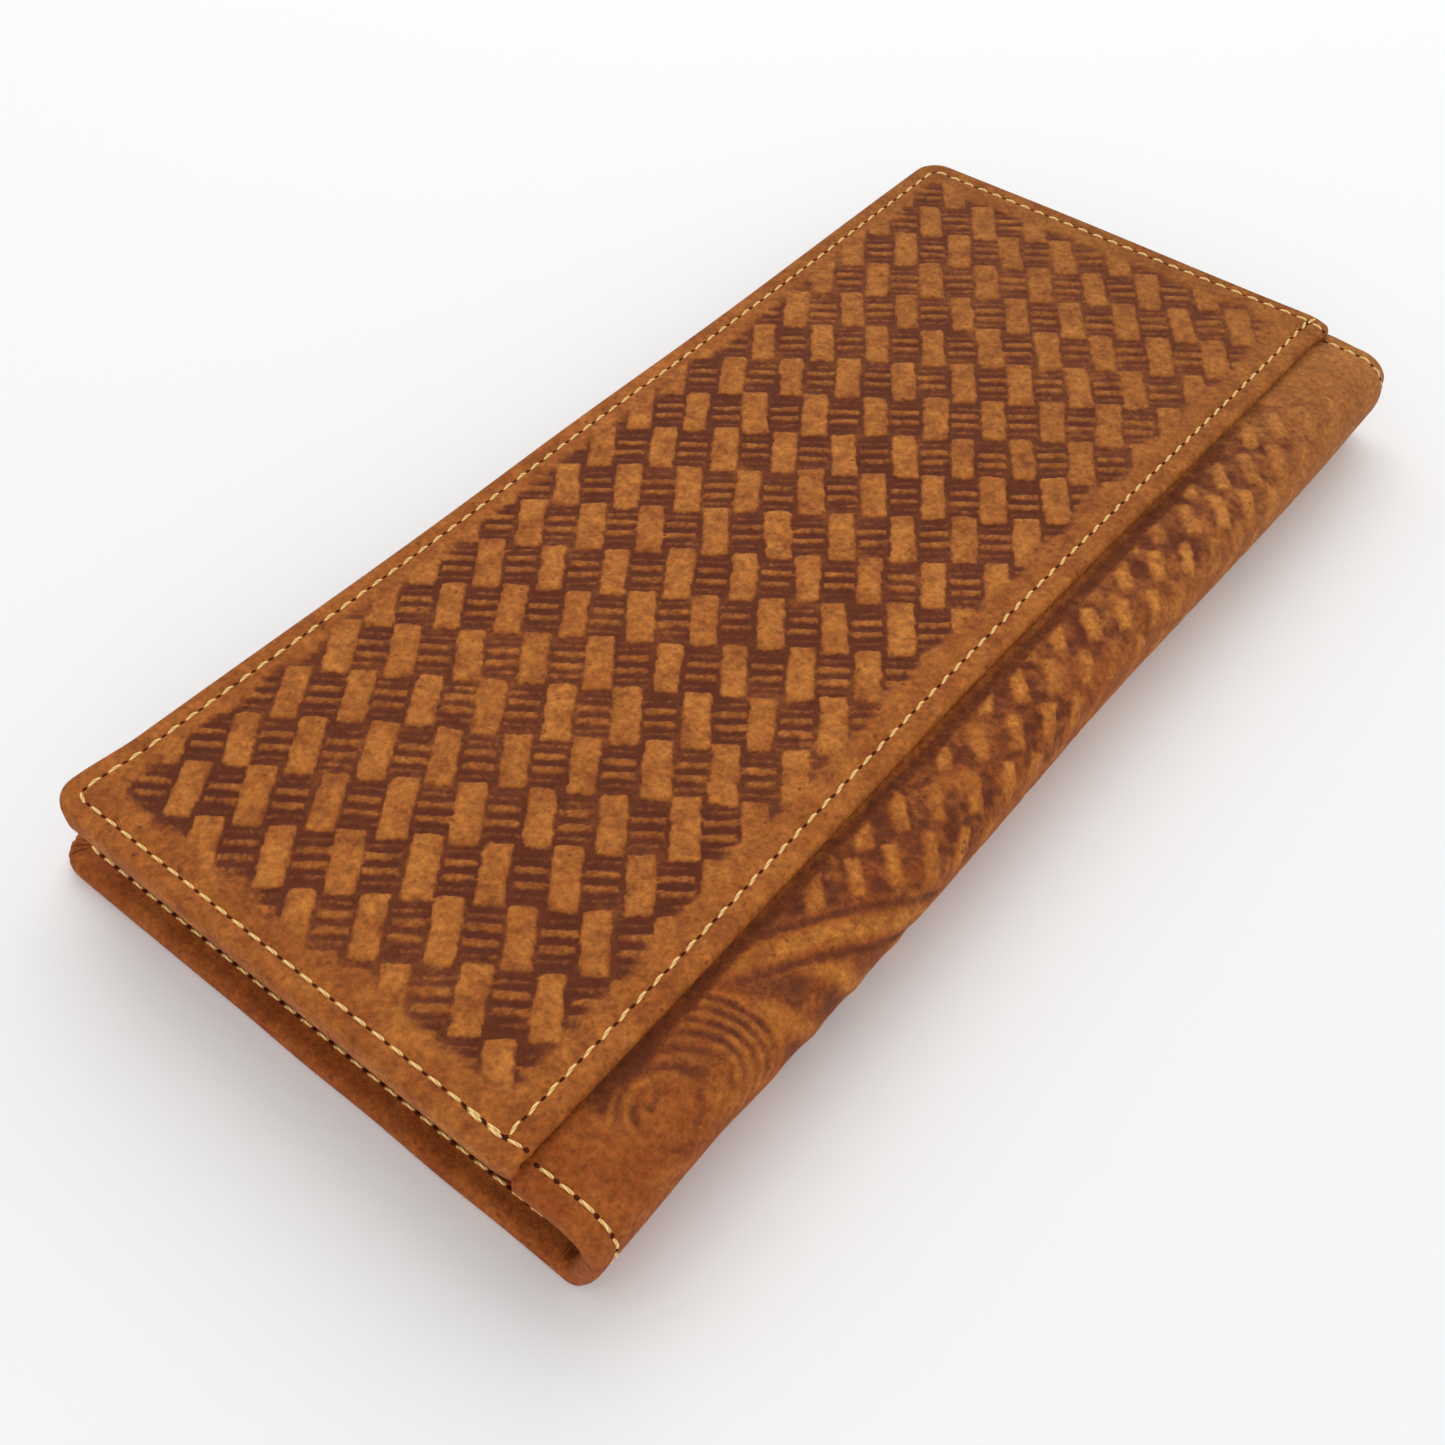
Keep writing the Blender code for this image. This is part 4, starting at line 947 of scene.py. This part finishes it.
def leaf(name, node, body, x_range, y_range, face, out, hide=CARD_HIDE, seams=(), puff=0.14, rim=None):
    """A pocket leaf: x_range and y_range bound its cut, face is the height of its outer side, out
    the way that side looks, hide its thickness, seams the y places where it is held down, puff how
    far it stands up between them, rim its sunk border: where that starts, its depth and slope."""
    bottom, mouth = x_range
    near, far = y_range
    piece, x, y = cut_leather(
        name,
        spaced([bottom, bottom + 1.2, mouth - 4, mouth - 0.9, mouth], [0.3, 1.4, 0.4, 0.18]),
        spaced([near, near + 1.2, far - 1.2, far], [0.3, 1.4, 0.3]),
    )
    edge = np.minimum(np.minimum(x - bottom, mouth - x), np.minimum(y - near, far - y))
    held = np.ones_like(x)
    for seam in seams:
        held = held * (1 - hump(y, seam, 9))
    lift = puff * held * smooth_step(edge / 6) * (1 + 0.5 * soft_noise(x, y, 18, 41))
    # The edge is rounded, and a line is creased 2 mm inside the mouth.
    lift = lift - 0.3 * np.clip(1 - edge / 0.45, 0, 1) ** 2 - 0.16 * hump(x, mouth - 2.0, 0.32)
    if rim:
        inside = np.minimum(x - rim[0], rim[1] - np.abs(y))
        lift = lift - rim[2] * smooth_step(-inside / rim[3] + 0.1)
    z = face + out * lift
    if body == "front":
        z = z - front_droop(x, y)
    shape_to(piece, x, y, z)
    thicken(piece, hide, flip=out < 0)
    dress(piece, pocket_cowhide, "leather", node, body=body)


leaf(
    "note_pocket",
    "bill_pocket_panel",
    "back",
    (-44.2, 31.8),
    (-90.2, 90.2),
    face=3.0,
    out=1,
    hide=NOTE_HIDE,
    puff=0.0,
    rim=(-40.4, 86.6, 1.1, 0.8),
)
CARD_MOUTHS = (26.8, 15.8, 4.8)
CARD_BOTTOMS = (-23.2, -34.2, -40.4)
CARD_FACES = (4.0, 5.0, 6.0)
for i, (mouth_x, bottom_x, face) in enumerate(zip(CARD_MOUTHS, CARD_BOTTOMS, CARD_FACES), 1):
    names, cut = (f"card_pocket_leaf_{i}", f"card_pocket_{i}"), ((bottom_x, mouth_x), (-86.6, 86.6))
    leaf(*names, "back", *cut, face, out=1, seams=(-85.2, 0, 85.2))


def stepped(points, mouths, faces, out):
    """A path with its height taken from the topmost leaf under it."""
    path = fine_path([(x, y, 0) for x, y in points], 0.6)
    path[:, 2] = faces[0]
    for mouth_x, face in zip(mouths[1:], faces[1:]):
        path[path[:, 0] < mouth_x + 0.2, 2] = face
    path[:, 2] += 0.05 * out
    return path


card_round = [(26.3, -85.2), (-39.0, -85.2), (-39.0, 85.2), (26.3, 85.2)]
path = stepped(card_round, CARD_MOUTHS, CARD_FACES, 1)
sew("card_pocket_stitches", path, UP, "card_pocket_thread", "back")
path = stepped([(26.3, 0), (-37.8, 0)], CARD_MOUTHS, CARD_FACES, 1)
sew("card_centre_stitches", path, UP, "card_centre_thread", "back")


# The zipped coin compartment of the front half: a cowhide panel sewn in under the border, with a
# slot for the zip. Its sides stand 3 mm deep, so that coins lie flat in it.
SLOT_LEFT, SLOT_RIGHT, SLOT_HALF = 19.1, 28.1, 72.4
PANEL_FACE = 10.9
PANEL_EDGE = 35.6

side_stops = [-38.7, -34.4, SLOT_LEFT - 1, SLOT_LEFT, SLOT_RIGHT, SLOT_RIGHT + 1, 34.6, PANEL_EDGE]
coin_panel, x, y = cut_leather(
    "coin_compartment",
    spaced(side_stops, [0.4, 1.4, 0.25, 1.0, 0.25, 0.8, 0.25]),
    spaced([-90.2, -86, -SLOT_HALF, SLOT_HALF, 86, 90.2], [0.4, 1.3, 1.4, 1.3, 0.4]),
)
slot_edge = np.maximum(np.maximum(SLOT_LEFT - x, x - SLOT_RIGHT), np.abs(y) - SLOT_HALF)
inside = np.minimum(x + 35.1, 86.7 - np.abs(y))
lift = 0.1 * smooth_step(inside / 8) * soft_noise(x, y, 16, 51)
lift = lift - 0.3 * np.clip(1 - slot_edge / 0.6, 0, 1) ** 2
lift = lift - 3.0 * smooth_step(0.15 - inside / 1.5)
lift = lift - 0.3 * np.clip(1 - (PANEL_EDGE - x) / 0.5, 0, 1) ** 2
shape_to(coin_panel, x, y, PANEL_FACE - lift - front_droop(x, y))
middles = 1000 * np.array([face.center for face in coin_panel.data.polygons])
over_slot = (middles[:, 0] > SLOT_LEFT) & (middles[:, 0] < SLOT_RIGHT)
select_faces(coin_panel, over_slot & (np.abs(middles[:, 1]) < SLOT_HALF))
bpy.ops.mesh.delete(type="FACE")
bpy.ops.object.mode_set(mode="OBJECT")
thicken(coin_panel, NOTE_HIDE, flip=True)
dress(coin_panel, pocket_cowhide, "leather", "zip_pocket_panel", body="front")

around = [(17.6, -73.9), (29.6, -73.9), (29.6, 73.9), (17.6, 73.9), (17.6, -73.9)]
path = fine_path([(x, y, PANEL_FACE) for x, y in around])
sew("zip_slot_stitches", path, DOWN, "zip_slot_thread", "front")
path = fine_path([(34.1, -85.2, PANEL_FACE), (34.1, 85.2, PANEL_FACE)])
sew("zip_panel_stitches", path, DOWN, "zip_panel_thread", "front")


# The zip: two herringbone cotton tapes with cast brass teeth, two stops, and a brass slider with
# its pull. The metal is the part's own solids, with a warm, slightly dulled brass finish.
# Woven tape is dull, with a fine slanting rib, drawn 1.7 mm apart so that it shows.
zip_tape, tree, surface = new_material("brown_herringbone_tape")
place = add_node(tree, "TexCoord", {}).outputs["Object"]
ply = {"Vector": place, "Scale": 260, "Distortion": 1.5}
ply = add_node(tree, "TexWave", ply, bands_direction="DIAGONAL").outputs["Fac"]
tone = {0: ply, 6: to_linear("#2A1B12"), 7: to_linear("#4B3424")}
tone = add_node(tree, "Mix", tone, data_type="RGBA").outputs[2]
bump = add_node(tree, "Bump", {"Height": ply, "Strength": 0.4, "Distance": 0.00015}).outputs[0]
set_sockets(surface, {"Base Color": tone, "Roughness": 0.9, "Sheen Weight": 0.2, "Normal": bump})
for word, x_range in (("left", (14.9, 20.6)), ("right", (26.6, 32.3))):
    lines = spaced(x_range, [0.8]), spaced([-72.1, 72.1], [1.6])
    tape, x, y = cut_leather(f"zip_tape_{word}_woven", *lines)
    ripple = 0.04 * np.sin(y / 2.4) + 0.04 * soft_noise(x, y, 6, 61)
    shape_to(tape, x, y, 12.0 + ripple)
    thicken(tape, 0.4, flip=True)
    dress(tape, zip_tape, "lining", f"zip_tape_{word}", body="front")

# Handled brass is bright in some places and brown and rougher in others, in patches of 1 mm.
dulled_brass, tree, surface = new_material("cast_brass_dulled")
place = add_node(tree, "TexCoord", {}).outputs["Object"]
tarnish = add_node(tree, "TexNoise", {"Vector": place, "Scale": 900, "Detail": 4}).outputs["Fac"]
tone = {0: tarnish, 6: to_linear("#8C6A2E"), 7: to_linear("#D9B765")}
tone = add_node(tree, "Mix", tone, data_type="RGBA").outputs[2]
rough = add_node(tree, "MapRange", {"Value": tarnish, "To Min": 0.2, "To Max": 0.45}).outputs[0]
set_sockets(surface, {"Base Color": tone, "Metallic": 1.0, "Roughness": rough})
for word in ("teeth_left", "teeth_right", "stop_near", "stop_far", "slider", "pull"):
    for material_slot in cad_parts[f"zip_{word}"].material_slots:
        material_slot.material = dulled_brass


# On the coin compartment: an identity window, a cowhide frame over a clear vinyl sheet, beside
# two stepped card pockets like those of the back half.
WINDOW_MIDDLE = (-9.75, -43.6)
WINDOW_OUTER = (25.35, 43.1)
WINDOW_HOLE = (17.35, 35.1)
WINDOW_FACE = 9.4
AROUND = 200
RINGS = 10

bpy.ops.object.select_all(action="DESELECT")
bpy.ops.mesh.primitive_circle_add(vertices=AROUND, radius=1)
window_frame = bpy.context.object
window_frame.name = "id_window_leather_frame"
bpy.ops.object.mode_set(mode="EDIT")
bpy.ops.mesh.select_mode(type="EDGE")
bpy.ops.mesh.select_all(action="SELECT")
for ring in range(RINGS):
    bpy.ops.mesh.extrude_region_move()
    size = (ring + 2) / (ring + 1)
    bpy.ops.transform.resize(value=(size, size, 1), center_override=(0, 0, 0))
bpy.ops.mesh.select_all(action="SELECT")
bpy.ops.mesh.normals_make_consistent(inside=False)
bpy.ops.object.mode_set(mode="OBJECT")
flat = np.array([v.co[:] for v in window_frame.data.vertices])
ring = (np.hypot(flat[:, 0], flat[:, 1]) - 1) / RINGS
angle = np.arctan2(flat[:, 1], flat[:, 0])
ring = 0.5 - 0.5 * np.cos(np.clip(ring, 0, 1) * math.pi)


def outline_reach(half, power):
    """How far from the middle a rounded rectangle's outline is, at each vertex's angle."""
    across = np.abs(np.cos(angle) * half[1] / half[0]) ** power + np.abs(np.sin(angle)) ** power
    return half[1] / across ** (1 / power)


# The powers set how square the corners are: softer in the hole than outside.
reach = outline_reach(WINDOW_HOLE, 16) * (1 - ring) + outline_reach(WINDOW_OUTER, 60) * ring
x = WINDOW_MIDDLE[0] + reach * np.cos(angle)
y = WINDOW_MIDDLE[1] + reach * np.sin(angle)
lift = 0.12 * np.sin(ring * math.pi) - 0.3 * np.clip(1 - ring / 0.05, 0, 1)
lift = lift - 0.3 * np.clip((ring - 0.95) / 0.05, 0, 1) - 0.14 * hump(ring, 0.2, 0.05)
shape_to(window_frame, x, y, WINDOW_FACE - lift - front_droop(x, y))
thicken(window_frame, CARD_HIDE, flip=window_frame.data.polygons[0].normal.z > 0)
dress(window_frame, pocket_cowhide, "leather", "id_window_frame", body="front")

# Soft vinyl is smooth with waves 11 mm long, so it glints unevenly and greys what lies under it.
clear_vinyl, tree, surface = new_material("clear_vinyl_sheet")
place = add_node(tree, "TexCoord", {}).outputs["Object"]
waves = add_node(tree, "TexNoise", {"Vector": place, "Scale": 90, "Detail": 2}).outputs["Fac"]
bump = add_node(tree, "Bump", {"Height": waves, "Strength": 0.15, "Distance": 0.0006}).outputs[0]
set_sockets(
    surface,
    {
        "Base Color": to_linear("#F2F2EC"),
        "Roughness": 0.12,
        "IOR": 1.53,
        "Transmission Weight": 0.9,
        "Alpha": 0.4,
        "Normal": bump,
    },
)
film, x, y = cut_leather("id_window_vinyl", spaced([-31.0, 11.5], [1.5]), spaced([-82.6, -4.6], [1.5]))
shape_to(film, x, y, 10.4 + 0.08 * soft_noise(x, y, 14, 71) - front_droop(x, y))
thicken(film, 0.2, flip=True)
dress(film, clear_vinyl, "vinyl", "id_window_film", body="front")

FRONT_CARD_MOUTHS = (15.6, 5.6)
FRONT_CARD_BOTTOMS = (-34.4, -35.0)
FRONT_CARD_FACES = (9.9, 8.9)
rows = zip(FRONT_CARD_MOUTHS, FRONT_CARD_BOTTOMS, FRONT_CARD_FACES)
for i, (mouth_x, bottom_x, face) in enumerate(rows, 1):
    names, cut = (f"front_card_leaf_{i}", f"front_card_pocket_{i}"), ((bottom_x, mouth_x), (0.6, 86.6))
    leaf(*names, "front", *cut, face, out=-1, seams=(1.9, 85.2))

card_round = [(15.0, 2.0), (-33.6, 2.0), (-33.6, 85.2), (15.0, 85.2)]
path = drooped(stepped(card_round, FRONT_CARD_MOUTHS, FRONT_CARD_FACES, -1))
sew("front_card_stitches", path, DOWN, "front_card_thread", "front")
window_round = [(15.0, -85.2), (-33.6, -85.2), (-33.6, -2.0), (15.0, -2.0)]
path = drooped(stepped(window_round, (16,), (WINDOW_FACE,), -1))
sew("id_window_stitches", path, DOWN, "id_window_thread", "front")

# The stitch and the needle hole that all seams are copied from are no longer needed.
for pattern in (one_stitch, one_hole):
    bpy.data.objects.remove(pattern)
